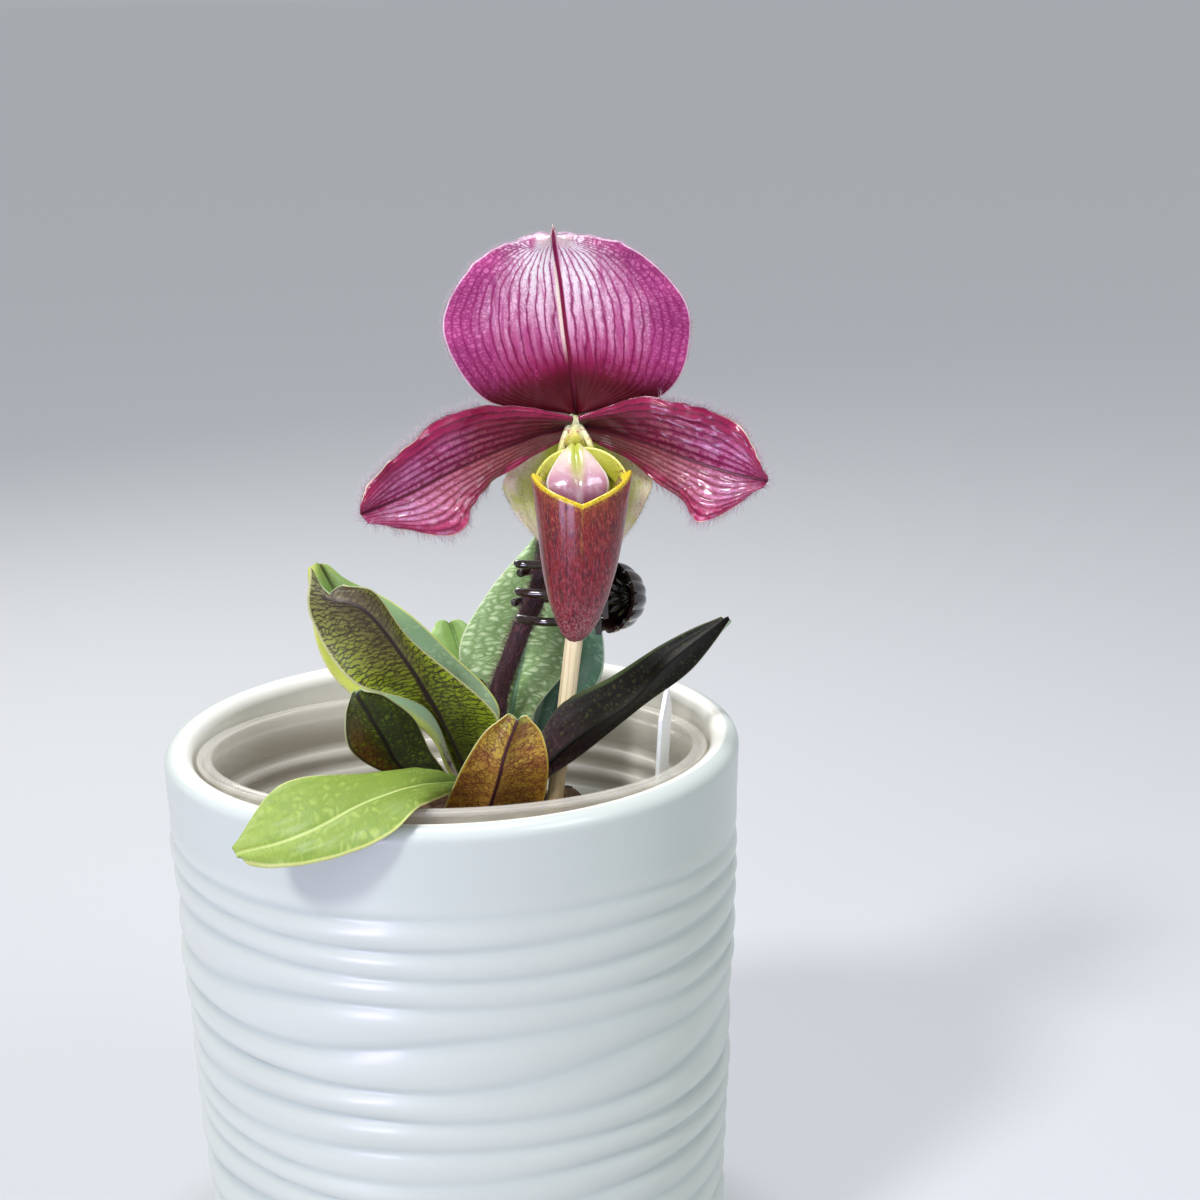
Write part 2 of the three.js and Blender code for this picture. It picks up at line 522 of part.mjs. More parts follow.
const FLOWER = {
  dorsal_sepal: {
    material: "sepal", swell: 1.6, wave: 0.4, waves: 4, rows: 15, columns: 10, thickness: PETAL_THICKNESS, keel: 0.7,
    left: [[26.5, 2, 199.5], [9.5, 5, 203], [1.5, 8, 215.5], [4, 8.5, 226.5], [13.5, 6.5, 235], [23.5, 2.5, 238]],
    mid: [[28.5, 3, 199.5], [28, 6, 207.5], [27, 7.5, 217], [26, 7, 227.5], [25, 5, 234], [24.5, 2, 239.5]],
    right: [[30.5, 2, 199.5], [47.5, 5, 203], [53.5, 8, 214], [51, 8.5, 224.5], [40, 6.5, 234.5], [25.5, 2.5, 238]],
  },
  petal_left: {
    material: "petal", swell: 0.7, wave: 0.3, rows: 13, columns: 8, thickness: PETAL_THICKNESS, keel: 0.3,
    left: [[26.4, -2, 195.8], [13.5, -3.5, 189.5], [6.5, -8, 183.5], [1.5, -12.5, 178.5], [-14.8, -13.5, 180.6]],
    mid: [[27, -1, 198.2], [14.5, -2, 194.5], [3, -5, 190.5], [-8, -9, 186], [-16.8, -12, 183.4]],
    right: [[27.4, -2.8, 200.4], [13.5, -4.5, 203.5], [1.5, -7.5, 202], [-10, -11.5, 195], [-17.2, -14, 186.3]],
  },
  petal_right: {
    material: "petal", swell: 0.7, wave: 0.3, rows: 13, columns: 8, thickness: PETAL_THICKNESS, keel: 0.3,
    left: [[28.6, -2.8, 200.4], [41.5, -4.5, 204], [53.5, -7.5, 202.5], [62, -11.5, 197.5], [66.6, -14, 189.5]],
    mid: [[29, -1, 198.2], [41.5, -2, 194.5], [51, -5, 191], [59.5, -9, 188.5], [66.6, -12, 187.2]],
    right: [[29.6, -2, 195.8], [41, -3.5, 189.5], [48.5, -8, 183.5], [53, -12.5, 179], [65, -13.5, 185.3]],
  },
  synsepal: {
    material: "paleSepal", swell: -1, wave: 0.2, rows: 10, columns: 6, thickness: PETAL_THICKNESS, keel: 0.3,
    left: [[31, 3.5, 197], [43, 2, 187.5], [41, 0, 180], [35.5, -2.5, 173], [29.5, -5, 165]],
    mid: [[28.5, 4.5, 197], [28.5, 6, 185], [29, 4, 176.5], [29, 0, 169], [28.5, -4, 164.5]],
    right: [[26, 3.5, 197], [14, 2, 187.5], [15.5, 0, 181], [21.5, -2.5, 173.5], [27.5, -5, 165]],
  },
  staminode: {
    material: "shield", swell: 0.6, rows: 8, columns: 6, thickness: 1.3, keel: 0.3,
    left: [[29, -7.4, 194.6], [31.2, -9.6, 192.8], [33.8, -13, 189], [33.2, -14.6, 185.4], [29.8, -15, 182.8]],
    mid: [[27.5, -7.8, 194.8], [27.4, -11, 193], [27.5, -15, 189], [27.6, -16.2, 185.4], [27.5, -15.4, 183.2]],
    right: [[26, -7.4, 194.6], [23.6, -9.6, 192.8], [21.1, -13, 189], [21.8, -14.6, 185.4], [25.2, -15, 182.8]],
  },
};
const COLUMN_PATH = [[28.2, 5.7, 198.6], [28, 1, 197.6], [27.5, -4, 196.2], [27.3, -6.6, 195]];

// The slipper: half-width and middle of the cup at heights from its toe to its mouth.
const POUCH_LEVELS = [
  { z: 157.3, x: 26.4, y: -21.5, half: 1.4, deep: 1.4 },
  { z: 158.7, x: 26.5, y: -21.4, half: 3, deep: 3 },
  { z: 161.4, x: 26.8, y: -21, half: 4.5, deep: 4.6 },
  { z: 166, x: 27.1, y: -20.4, half: 6.2, deep: 6.6 },
  { z: 172.9, x: 27.6, y: -19.8, half: 7.8, deep: 8.4 },
  { z: 179, x: 28, y: -19.4, half: 8.7, deep: 9.3 },
  { z: 185.9, x: 28.3, y: -19, half: 9.6, deep: 10 },
  { z: 192, x: 28.4, y: -18.6, half: 10.3, deep: 10.4 },
  { z: 197, x: 28.3, y: -17.6, half: 10.2, deep: 10.8 },
];
const POUCH_NOTCH_Z = 187;
const POUCH_TURN = 0.45;
const POUCH_EAR_Z = 192;
const POUCH_BACK_Z = 194.5;
const POUCH_WALL = 0.8;
const POUCH_FOLD = 2.2;

function pouch() {
  const sides = 24;
  const keys = ["z", "x", "y", "half", "deep"];
  const levels = POUCH_LEVELS.map((level) => keys.map((key) => level[key]));
  const atHeight = (z) => {
    let i = 0;
    while (i < levels.length - 2 && levels[i + 1][0] < z) i++;
    const f = (z - levels[i][0]) / (levels[i + 1][0] - levels[i][0]);
    return along(levels, i + Math.min(Math.max(f, 0), 1));
  };
  // Turn runs from the notch at the front (0) round to the back (pi).
  const rimZ = (turn) => {
    const side = Math.abs(turn) / Math.PI;
    if (side < 0.44) return POUCH_NOTCH_Z + (POUCH_EAR_Z - POUCH_NOTCH_Z) * (side / 0.44) ** 0.9;
    if (side < 0.6) return POUCH_EAR_Z - 2.2 * Math.sin((Math.PI / 2) * ((side - 0.44) / 0.16));
    return POUCH_EAR_Z - 2.2 + (POUCH_BACK_Z - POUCH_EAR_Z + 2.2) * Math.sin((Math.PI / 2) * ((side - 0.6) / 0.4));
  };
  const squared = (value) => Math.sign(value) * Math.abs(value) ** 0.86;
  const point = (turn, z, inset) => {
    const [, x, y, half, deep] = atHeight(z);
    const crease = Math.max(0, 1 - Math.abs(turn) / 0.25) * 0.5;
    return [
      x + (half - inset) * squared(Math.sin(turn)) - POUCH_TURN * (1 + Math.cos(turn)),
      y - (deep - inset + crease) * squared(Math.cos(turn)),
      z,
    ];
  };
  const turns = Array.from({ length: sides }, (_, k) => {
    const turn = (2 * Math.PI * k) / sides;
    return turn > Math.PI ? turn - 2 * Math.PI : turn;
  });
  const toe = POUCH_LEVELS[0].z;
  const row = (share, inset, foot) => turns.map((turn) => point(turn, foot + (rimZ(turn) - foot) * share, inset));
  const folded = (drop, depth) =>
    turns.map((turn) => {
      const atEar = Math.exp(-(((Math.abs(turn) / Math.PI - 0.5) / 0.12) ** 2));
      return point(turn, rimZ(turn) - drop, POUCH_WALL + depth * atEar);
    });
  const rows = [];
  for (const share of [0, 0.04, 0.1, 0.2, 0.36, 0.54, 0.72, 0.88, 1]) rows.push(row(share, 0, toe));
  rows.push(folded(0.1, 0.6), folded(1.4, POUCH_FOLD), folded(3, POUCH_FOLD * 0.8), folded(4.2, 0.1));
  for (const share of [0.6, 0.4, 0.2, 0.08, 0]) rows.push(row(share, POUCH_WALL, toe + POUCH_WALL));
  return loft(rows);
}

// ---- clip ----

function knuckle(z0, z1) {
  const points = [[1, z0], [CLIP_KNUCKLE_RADIUS, z0], [CLIP_KNUCKLE_RADIUS, z1], [1, z1], [1, z0]];
  const ring = new THREE.LatheGeometry(points.map(([r, z]) => new THREE.Vector2(r, z)), 12);
  ring.rotateX(Math.PI / 2);
  return solidOf(ring.translate(CLIP_PIN_X, CLIP_PIN_Y, 0));
}

const prong = (plan, z) =>
  bar(plan.map(([x, y]) => [x, y, z]), (f) => CLIP_PRONG_RADIUS * (f > 0.97 ? 0.6 : 1), { rings: 8, sides: 6 });

function clipFrontJaw() {
  const prongs = [167.7, 161.5, 155.5].map((z) => {
    const bow = 1.1 - (168.5 - z) * 0.146;
    return prong([[32, bow + 0.2], [28, bow - 0.2], [21, bow + 0.4], [16, 2.4], [15, 4.2]], z);
  });
  const plate = slab([32.7, 4.6], [32, -0.6], 152.2, 168.5, 1.4);
  const tab = slab([31.9, 0.2], [33.4, -3.6], 156.5, 166, 1.3);
  const low = knuckle(151.8, 154.2).add(slab([32.8, 6], [32.6, 3.8], 152.2, 154.2, 1.4));
  const high = knuckle(163.9, 166.4).add(slab([32.8, 6], [32.6, 3.8], 163.9, 166, 1.4));
  return largest(joined([...prongs, plate, tab, low, high]));
}

function clipShell() {
  const segments = 20;
  const opening = unit([-0.75, -0.66, 0.2]);
  const sideways = unit(cross([0, 0, 1], opening));
  const upwards = cross(opening, sideways);
  const centre = [35, 9.2, 158];
  const bowl = (degrees, radius, scallop) => {
    const row = [];
    const polar = (degrees * Math.PI) / 180;
    for (let k = 0; k < segments; k++) {
      const turn = (2 * Math.PI * k) / segments;
      const flute = k % 2 === 0 ? scallop : -scallop;
      const around = (radius + flute) * Math.cos(polar);
      const inAir = add(centre, opening, -radius * Math.sin(polar) * CLIP_SHELL_DEPTH + flute);
      row.push(add(add(inAir, sideways, around * Math.cos(turn)), upwards, around * Math.sin(turn)));
    }
    return row;
  };
  const inner = CLIP_SHELL_RADIUS - 0.9;
  const rows = [82, 62, 40, 20, 0].map((degrees) => bowl(degrees, CLIP_SHELL_RADIUS, degrees < 30 ? 0.2 : 0));
  for (const degrees of [0, 20, 40, 62, 82]) rows.push(bowl(degrees, inner, degrees < 70 ? 0.2 : 0));
  return loft(rows);
}

function clipBackJaw() {
  const high = prong([[31, 12], [27, 13.8], [20.6, 12.9], [16.6, 11.1], [15.9, 10]], 163.8);
  const low = prong([[31, 12], [27, 13.2], [18.6, 12], [15.2, 10.6], [14.2, 9.4]], 157.3);
  const knuckles = [knuckle(154.6, 156.8), knuckle(161.3, 163.5)];
  const arms = [[154.6, 156.8], [161.3, 163.5]].map(([z0, z1]) => slab([32.2, 9.1], [31.2, 12.4], z0, z1, 1.4));
  const plate = slab([29.2, 12.7], [33.4, 12.9], 154.6, 163.5, 1.4);
  const bridge = slab([29.2, 12.9], [31.6, 15.2], 155, 162.5, 1.4);
  return largest(joined([high, low, ...knuckles, ...arms, plate, bridge, clipShell()]));
}

function clipSpring() {
  const steps = 26;
  const path = [[33.9, 4.6, 157.4]];
  for (let k = 0; k <= steps; k++) {
    const turn = -1.2 + (2 * Math.PI * k) / 8;
    path.push([CLIP_PIN_X + 1.4 * Math.cos(turn), CLIP_PIN_Y + 1.4 * Math.sin(turn), 157.4 + (3.2 * k) / steps]);
  }
  path.push([33.7, 11.6, 160.6]);
  return bar(path, () => 0.3, { rings: 36, sides: 4 });
}

// ---- label ----

function plantLabel(grow = 0) {
  const outline = new THREE.Shape();
  const half = 5.5 + grow;
  outline.moveTo(0, -grow);
  for (const [x, y] of [[half, 9 - grow], [half, 32], [1, 37 + grow], [-1, 37 + grow], [-half, 32], [-half, 9 - grow]]) {
    outline.lineTo(x, y);
  }
  const card = new THREE.ExtrudeGeometry(outline, { depth: 0.8 + 2 * grow, bevelEnabled: false });
  card.translate(0, 0, -0.4 - grow).rotateX(Math.PI / 2).rotateZ(Math.PI / 2 - 0.29);
  card.rotateY(0.07).translate(42.7, -13, 106);
  return solidOf(card);
}

// ---- assembly ----

const stakePath = [[14.6, -9.8, 71], [21.6, -3, 116.7], [26.8, 2, 150.6], [29.6, 4.7, 168.5]];
const stakeRadius = (f) => (f < 0.02 ? 0.3 : STAKE_RADIUS_FOOT + (STAKE_RADIUS_TOP - STAKE_RADIUS_FOOT) * f);
const stake = bar(stakePath, stakeRadius, { rings: 14, sides: 12 });
const stakeRoom = bar(stakePath, (f) => stakeRadius(f) + SEATING_GAP, { rings: 14, sides: 12 });
const crown = crownWithRoots();
const crownRoom = crownWithRoots(SEATING_GAP);
const labelRoom = plantLabel(SEATING_GAP);

piece("ceramic_pot", coverPot(), "glaze");
piece("nursery_pot", nurseryPot(), "clearPlastic");
piece("bark_mix", without(barkMix(), [crownRoom, stakeRoom, labelRoom]), "bark");
piece("crown_with_roots", crown, "root");
piece("stake", stake, "bamboo");
piece("plant_label", plantLabel(), "whitePlastic");

const scapeRadius = (f) => SCAPE_RADIUS * (1.1 - 0.2 * f);
const scapeRoom = bar(SCAPE_PATH, (f) => scapeRadius(f) + SEATING_GAP, { rings: 18, sides: 10 });
piece("scape", without(bar(SCAPE_PATH, scapeRadius, { rings: 18, sides: 10 }), [crownRoom]), "stem");
piece("sheath", without(blade(SHEATH), [crownRoom, scapeRoom]), "stem");

// Each leaf keeps clear of the crown, the stem, the stick and the leaves placed before it.
const taken = [crownRoom, scapeRoom, stakeRoom, blade(SHEATH, SEATING_GAP)];
for (const [name, shape] of Object.entries(LEAVES)) {
  piece(name, without(blade(shape), taken), shape.material);
  taken.push(blade(shape, SEATING_GAP));
}

const ovaryRadius = (f, k) => 1.9 + 0.7 * Math.sin(Math.PI * f) + (k % 2) * 0.25;
const ovaryRoom = bar(OVARY_PATH, (f, k) => ovaryRadius(f, k) + SEATING_GAP, { rings: 10, sides: 12 });
piece("ovary", bar(OVARY_PATH, ovaryRadius, { rings: 10, sides: 12 }), "stem");
piece("bract", without(blade(BRACT), [scapeRoom, ovaryRoom]), "stem");

const columnRadius = (f) => 1.5 + 0.7 * f;
const columnRoom = bar(COLUMN_PATH, (f) => columnRadius(f) + SEATING_GAP, { rings: 8, sides: 12 });
piece("column", bar(COLUMN_PATH, columnRadius, { rings: 8, sides: 12 }), "cream");
const flowerTaken = [columnRoom];
for (const name of ["staminode", "petal_left", "petal_right", "dorsal_sepal", "synsepal"]) {
  piece(name, without(blade(FLOWER[name]), flowerTaken), FLOWER[name].material);
  flowerTaken.push(blade(FLOWER[name], SEATING_GAP));
}
piece("pouch", without(pouch(), flowerTaken), "pouch");

const pin = new THREE.CylinderGeometry(CLIP_PIN_RADIUS, CLIP_PIN_RADIUS, 15.6, 12);
pin.rotateX(Math.PI / 2).translate(CLIP_PIN_X, CLIP_PIN_Y, 159.1);
piece("clip_pin", solidOf(pin), "steel");
piece("clip_front_jaw", clipFrontJaw(), "clipPlastic");
piece("clip_back_jaw", clipBackJaw(), "clipPlastic");
piece("clip_spring", clipSpring(), "steel");

export default plant;
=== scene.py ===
import math
import random
from functools import partial

import bpy
import numpy as np
from mathutils import Matrix, Vector, noise


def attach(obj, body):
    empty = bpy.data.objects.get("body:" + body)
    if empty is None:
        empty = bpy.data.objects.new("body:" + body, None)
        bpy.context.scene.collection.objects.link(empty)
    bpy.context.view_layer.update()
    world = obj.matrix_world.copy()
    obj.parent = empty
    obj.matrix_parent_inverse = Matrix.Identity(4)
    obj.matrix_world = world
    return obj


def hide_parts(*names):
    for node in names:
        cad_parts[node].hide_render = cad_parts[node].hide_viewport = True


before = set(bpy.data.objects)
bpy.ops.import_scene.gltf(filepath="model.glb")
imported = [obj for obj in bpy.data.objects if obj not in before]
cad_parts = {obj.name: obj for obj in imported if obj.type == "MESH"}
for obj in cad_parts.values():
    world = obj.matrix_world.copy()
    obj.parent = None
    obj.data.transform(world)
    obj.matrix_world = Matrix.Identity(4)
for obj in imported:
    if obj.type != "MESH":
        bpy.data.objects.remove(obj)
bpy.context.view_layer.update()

mm = 0.001


# nodes and materials

def tint(hexCode):
    # sRGB hex to the linear values that shaders work in
    values = [int(hexCode[i:i + 2], 16) / 255 for i in (1, 3, 5)]
    return tuple(v / 12.92 if v <= 0.04045 else ((v + 0.055) / 1.055) ** 2.4 for v in values) + (1.0,)


def addNode(material, kind, inputs=None, **settings):
    # an input takes a number, a hex colour, another node or (node, name of its output)
    node = material.node_tree.nodes.new("ShaderNode" + kind)
    if kind == "Mix":
        node.data_type = "RGBA"  # only colours are mixed here: inputs 6 and 7, output 2
    for key, value in settings.items():
        if key != "stops":
            setattr(node, key, value)
            continue
        ramp = node.color_ramp
        while len(ramp.elements) < len(value):
            ramp.elements.new(0.5)
        for element, (position, colour) in zip(ramp.elements, value):
            element.position = position
            element.color = tint(colour)
    for key, value in (inputs or {}).items():
        source, output = value, None
        if isinstance(value, tuple) and isinstance(value[0], bpy.types.Node):
            source, output = value
        if not isinstance(source, bpy.types.Node):
            node.inputs[key].default_value = tint(value) if isinstance(value, str) else value
            continue
        if output is None:
            output = 2 if source.bl_idname == "ShaderNodeMix" else 0
        material.node_tree.links.new(source.outputs[output], node.inputs[key])
    return node


def newMaterial(name):
    # an empty material, and addNode bound to it
    material = bpy.data.materials.new(name)
    material.use_nodes = True
    material.node_tree.nodes.clear()
    return material, partial(addNode, material)


def finishMaterial(material, inputs):
    shader = addNode(material, "BsdfPrincipled", inputs)
    addNode(material, "OutputMaterial", {"Surface": shader})
    return material


def clouded(name, look):
    # an even finish: two or three close colours in soft clouds, and a shallow relief
    material, add = newMaterial(name)
    where = add("TexCoord")
    clouds = add("TexNoise", {"Vector": (where, "Object"), **look["clouds"]})
    relief = clouds
    if "relief" in look:
        relief = add("TexNoise", {"Vector": (where, "Object"), **look["relief"]})
    colour = add("ValToRGB", {0: clouds}, stops=look["stops"])
    bump = add("Bump", {"Height": relief, **look["bump"]})
    return finishMaterial(material, {"Base Color": colour, "Normal": bump, **look["surface"]})


def specks(add, where, spacing, share, widest, full):
    # scattered dots: one in each chosen cell, faint at the widest radius and full at the inner one
    cells = add("TexVoronoi", {"Vector": where, "Scale": spacing})
    split = add("SeparateColor", {0: (cells, "Color")})
    chosen = add("Math", {0: split, 1: 1 - share}, operation="GREATER_THAN")
    dot = add("MapRange", {"Value": (cells, "Distance"), "From Min": widest, "From Max": full})
    return add("Math", {0: dot, 1: chosen}, operation="MULTIPLY")


def newObject(name, data):
    made = bpy.data.objects.new(name, data)
    bpy.context.scene.collection.objects.link(made)
    return made


# curves and meshes

def along(points, u):
    # smooth curve through every point, u counted in points
    last = len(points) - 1
    i = min(int(u), last - 1)
    f = u - i

    def slope(k):
        return (points[min(k + 1, last)] - points[max(k - 1, 0)]) * (1.0 if k in (0, last) else 0.5)

    return ((2 * f**3 - 3 * f**2 + 1) * points[i] + (f**3 - 2 * f**2 + f) * slope(i)
            + (3 * f**2 - 2 * f**3) * points[i + 1] + (f**3 - f**2) * slope(i + 1))


def unit(a):
    return a / max(np.linalg.norm(a), 1e-9)


def smooth(low, high, value):
    f = np.clip((value - low) / (high - low), 0, 1)
    return f * f * (3 - 2 * f)


def turnsOf(sides):
    return np.arange(sides) * 2 * math.pi / sides


def ring(radius, turns, z):
    return np.stack([radius * np.cos(turns), radius * np.sin(turns), np.full_like(turns, z)], 1)


def ringFaces(rings, sides):
    # quads between rings of points, and one polygon over each end
    faces = []
    for r in range(rings - 1):
        for k in range(sides):
            a = r * sides
            b = (k + 1) % sides
            faces.append((a + k, a + b, a + sides + b, a + sides + k))
    faces.append(tuple(range(sides))[::-1])
    faces.append(tuple((rings - 1) * sides + k for k in range(sides)))
    return faces


def facedOut(points, faces):
    # the same faces, turned if their solid would show its inside
    corners = np.array([(face[0], b, c) for face in faces for b, c in zip(face[1:-1], face[2:])])
    a, b, c = (np.asarray(points)[corners[:, i]] for i in range(3))
    inward = np.einsum("ij,ij->i", a, np.cross(b, c)).sum() < 0
    return [face[::-1] for face in faces] if inward else faces


def joined(parts):
    # several closed solids as one list of points and faces, with their marks
    points = []
    faces = []
    marks = {}
    count = 0
    for part in parts:
        own = facedOut(part["points"], part["faces"])
        faces += [tuple(i + count for i in face) for face in own]
        count += len(part["points"])
        points.append(part["points"])
        for mark, values in part.get("marks", {}).items():
            marks.setdefault(mark, []).append(values)
    return {"points": np.concatenate(points), "faces": faces,
            "marks": {mark: np.concatenate(values) for mark, values in marks.items()}}


def makePiece(name, part, materials, stands=(), body="plant", skins=None):
    points = np.asarray(part["points"], float)
    faces = facedOut(points, part["faces"])
    mesh = bpy.data.meshes.new(name)
    mesh.from_pydata((points * mm).tolist(), [], faces)
    mesh.polygons.foreach_set("use_smooth", [True] * len(faces))
    for material in materials:
        mesh.materials.append(material)
    if skins is not None:
        mesh.polygons.foreach_set("material_index", skins)
    for mark, values in part.get("marks", {}).items():
        attribute = mesh.attributes.new(mark, "FLOAT_VECTOR", "POINT")
        attribute.data.foreach_set("vector", np.asarray(values, np.float32).ravel())
    mesh.update()
    piece = newObject(name, mesh)
    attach(piece, body)
    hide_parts(*stands)
    return piece


def roundEdges(piece, name, width, sharpest, segments=3, level=True):
    # width in millimetres, the sharpest angle that stays in degrees, level faces shaded flat
    edge = piece.modifiers.new(name, "BEVEL")
    edge.width = width * mm
    edge.segments = segments
    edge.limit_method = "ANGLE"
    edge.angle_limit = math.radians(sharpest)
    edge.harden_normals = level


def dressNode(node, material, bevel=None):
    # a frame node that is shown as it is, with its own finish and, if asked, rounded edges
    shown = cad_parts[node]
    shown.data.materials.clear()
    shown.data.materials.append(material)
    if bevel:
        roundEdges(shown, "rounded_edges", bevel, 40)


def rod(path, radius, rings, sides):
    # a curved rod; its place marks hold the turn and the share of its length, its sheet marks millimetres
    path = np.asarray(path, float)
    last = len(path) - 1
    turns = turnsOf(sides)
    across = None
    before = None
    walked = 0.0
    rows, outwards, place, sheet = [], [], [], []
    for r in range(rings):
        f = r / (rings - 1)
        here = along(path, last * f)
        tangent = unit(along(path, min(last * f + 0.01, last)) - along(path, max(last * f - 0.01, 0)))
        if across is None:
            across = np.array([1.0, 0, 0] if abs(tangent[2]) > 0.9 else [0, 0, 1.0])
        up = unit(np.cross(tangent, across))
        across = np.cross(up, tangent)
        walked += 0.0 if before is None else float(np.linalg.norm(here - before))
        before = here
        outward = np.outer(np.cos(turns), across) + np.outer(np.sin(turns), up)
        size = np.array([radius(f, turn) for turn in turns])
        rows.append(here + outward * size[:, None])
        outwards.append(outward)
        place.append(np.stack([turns / math.pi - 1, np.full(sides, f), np.full(sides, f)], 1))
        sheet.append(np.stack([size * np.cos(turns), np.full(sides, walked), size * np.sin(turns)], 1))
    marks = {"place": np.concatenate(place), "sheet": np.concatenate(sheet)}
    return {"points": np.concatenate(rows), "faces": ringFaces(rings, sides), "marks": marks,
            "outwards": np.concatenate(outwards)}


# hairs: each root is where a hair starts and which way it points

def rodRoots(path, radius, look, chance):
    # all over a rod
    rings, sides = 160, 24
    part = rod(path, radius, rings, sides)
    points = part["points"].reshape(rings, sides, 3)
    outwards = part["outwards"].reshape(rings, sides, 3)
    roots = []
    for _ in range(look["count"]):
        f = look["from"] + (look["to"] - look["from"]) * chance.random()
        row = min(int(f * (rings - 1)), rings - 2)
        share = f * (rings - 1) - row
        k = chance.randrange(sides)
        roots.append((points[row, k] * (1 - share) + points[row + 1, k] * share, outwards[row, k]))
    return roots


def hairs(name, roots, look, material, seed):
    # one thin three-sided cone for each root, bent by chance
    chance = random.Random(seed)
    points = []
    faces = []
    rings = ((-0.1, 1.0, 0.0), (0.55, 0.7, 0.3))  # share of the length, of the radius and of the droop
    for foot, outward in roots:
        stray = np.array([chance.gauss(0, 1) for _ in range(3)])
        aim = unit(np.asarray(outward, float) + stray * look["spread"])
        length = look["length"] * (0.55 + 0.9 * chance.random())
        sideways = unit(np.cross(aim, [0.3, 0.5, 0.81]))
        other = np.cross(aim, sideways)
        droop = (sideways * chance.gauss(0, 1) + other * chance.gauss(0, 1)) * look["curl"] * length
        start = len(points)
        for share, thick, bend in rings:
            centre = foot + aim * length * share + droop * bend
            for turn in turnsOf(3):
                spoke = sideways * math.cos(turn) + other * math.sin(turn)
                points.append(centre + spoke * look["radius"] * thick)
        points.append(foot + aim * length + droop)
        for k in range(3):
            n = (k + 1) % 3
            faces.append((start + k, start + n, start + 3 + n, start + 3 + k))
            faces.append((start + 3 + k, start + 3 + n, start + 6))
        faces.append((start + 2, start + 1, start))
    makePiece(name, {"points": np.array(points), "faces": faces}, [material])


# living tissue

def tissueMask(add, marks, where):
    # several soft steps multiplied; each names what it measures and the two values that it rises between
    mask = None
    for measure, *sizes, low, high in where:
        if measure in ("patches", "cells"):
            # sizes in millimetres, across and along
            scale = (1 / sizes[0], 1 / sizes[1], 1 / sizes[0])
            spread = add("Mapping", {"Vector": marks["sheet"], "Scale": scale})
        if measure in ("bars", "veins"):
            # bars cross a blade every so many millimetres; veins run along it, so many to each half
            crossing = measure == "bars"
            swaySize = (0.45, 0.3, 0.45) if crossing else (0.28, 0.12, 0.28)
            sway = add("Mapping", {"Vector": marks["sheet"], "Scale": swaySize})
            swayed = add("TexNoise", {"Vector": sway, "Scale": 1.0, "Detail": 2.0})
            start = 0.0 if crossing else -sizes[1] / 2
            offset = add("Math", {0: swayed, 1: sizes[1], 2: start}, operation="MULTIPLY_ADD")
            run = marks["length" if crossing else "across"]
            pitch = 1 / sizes[0] if crossing else sizes[0]
            line = add("Math", {0: run, 1: pitch, 2: offset}, operation="MULTIPLY_ADD")
            source = add("Math", {0: line, 1: 0.5}, operation="PINGPONG")
        elif measure == "patches":
            source = add("TexNoise", {"Vector": spread, "Scale": 1.0, "Detail": 3.0, "Distortion": 0.4})
        elif measure == "cells":
            bend = add("TexNoise", {"Vector": spread, "Scale": 0.5, "Detail": 1.0})
            bent = add("VectorMath", {0: (bend, "Color"), "Scale": 1.4}, operation="SCALE")
            moved = add("VectorMath", {0: spread, 1: bent}, operation="ADD")
            source = add("TexVoronoi", {"Vector": moved, "Scale": 1.0}, feature="DISTANCE_TO_EDGE")
        else:
            source = marks[measure]
        step = add("MapRange", {"Value": source, "From Min": low, "From Max": high},
                   interpolation_type="SMOOTHSTEP")
        mask = step if mask is None else add("Math", {0: mask, 1: step}, operation="MULTIPLY")
    return mask


# what a look leaves out; grain is in millimetres, across and along
plainTissue = {
    "layers": [], "grain": (0.5, 0.5), "sugar": 0.12, "bump": 0.35, "roughness": 0.5, "shine": 0.5,
    "coat": 0.0, "coatRoughness": 0.2, "glow": 0.15, "sheen": 0.0,
}


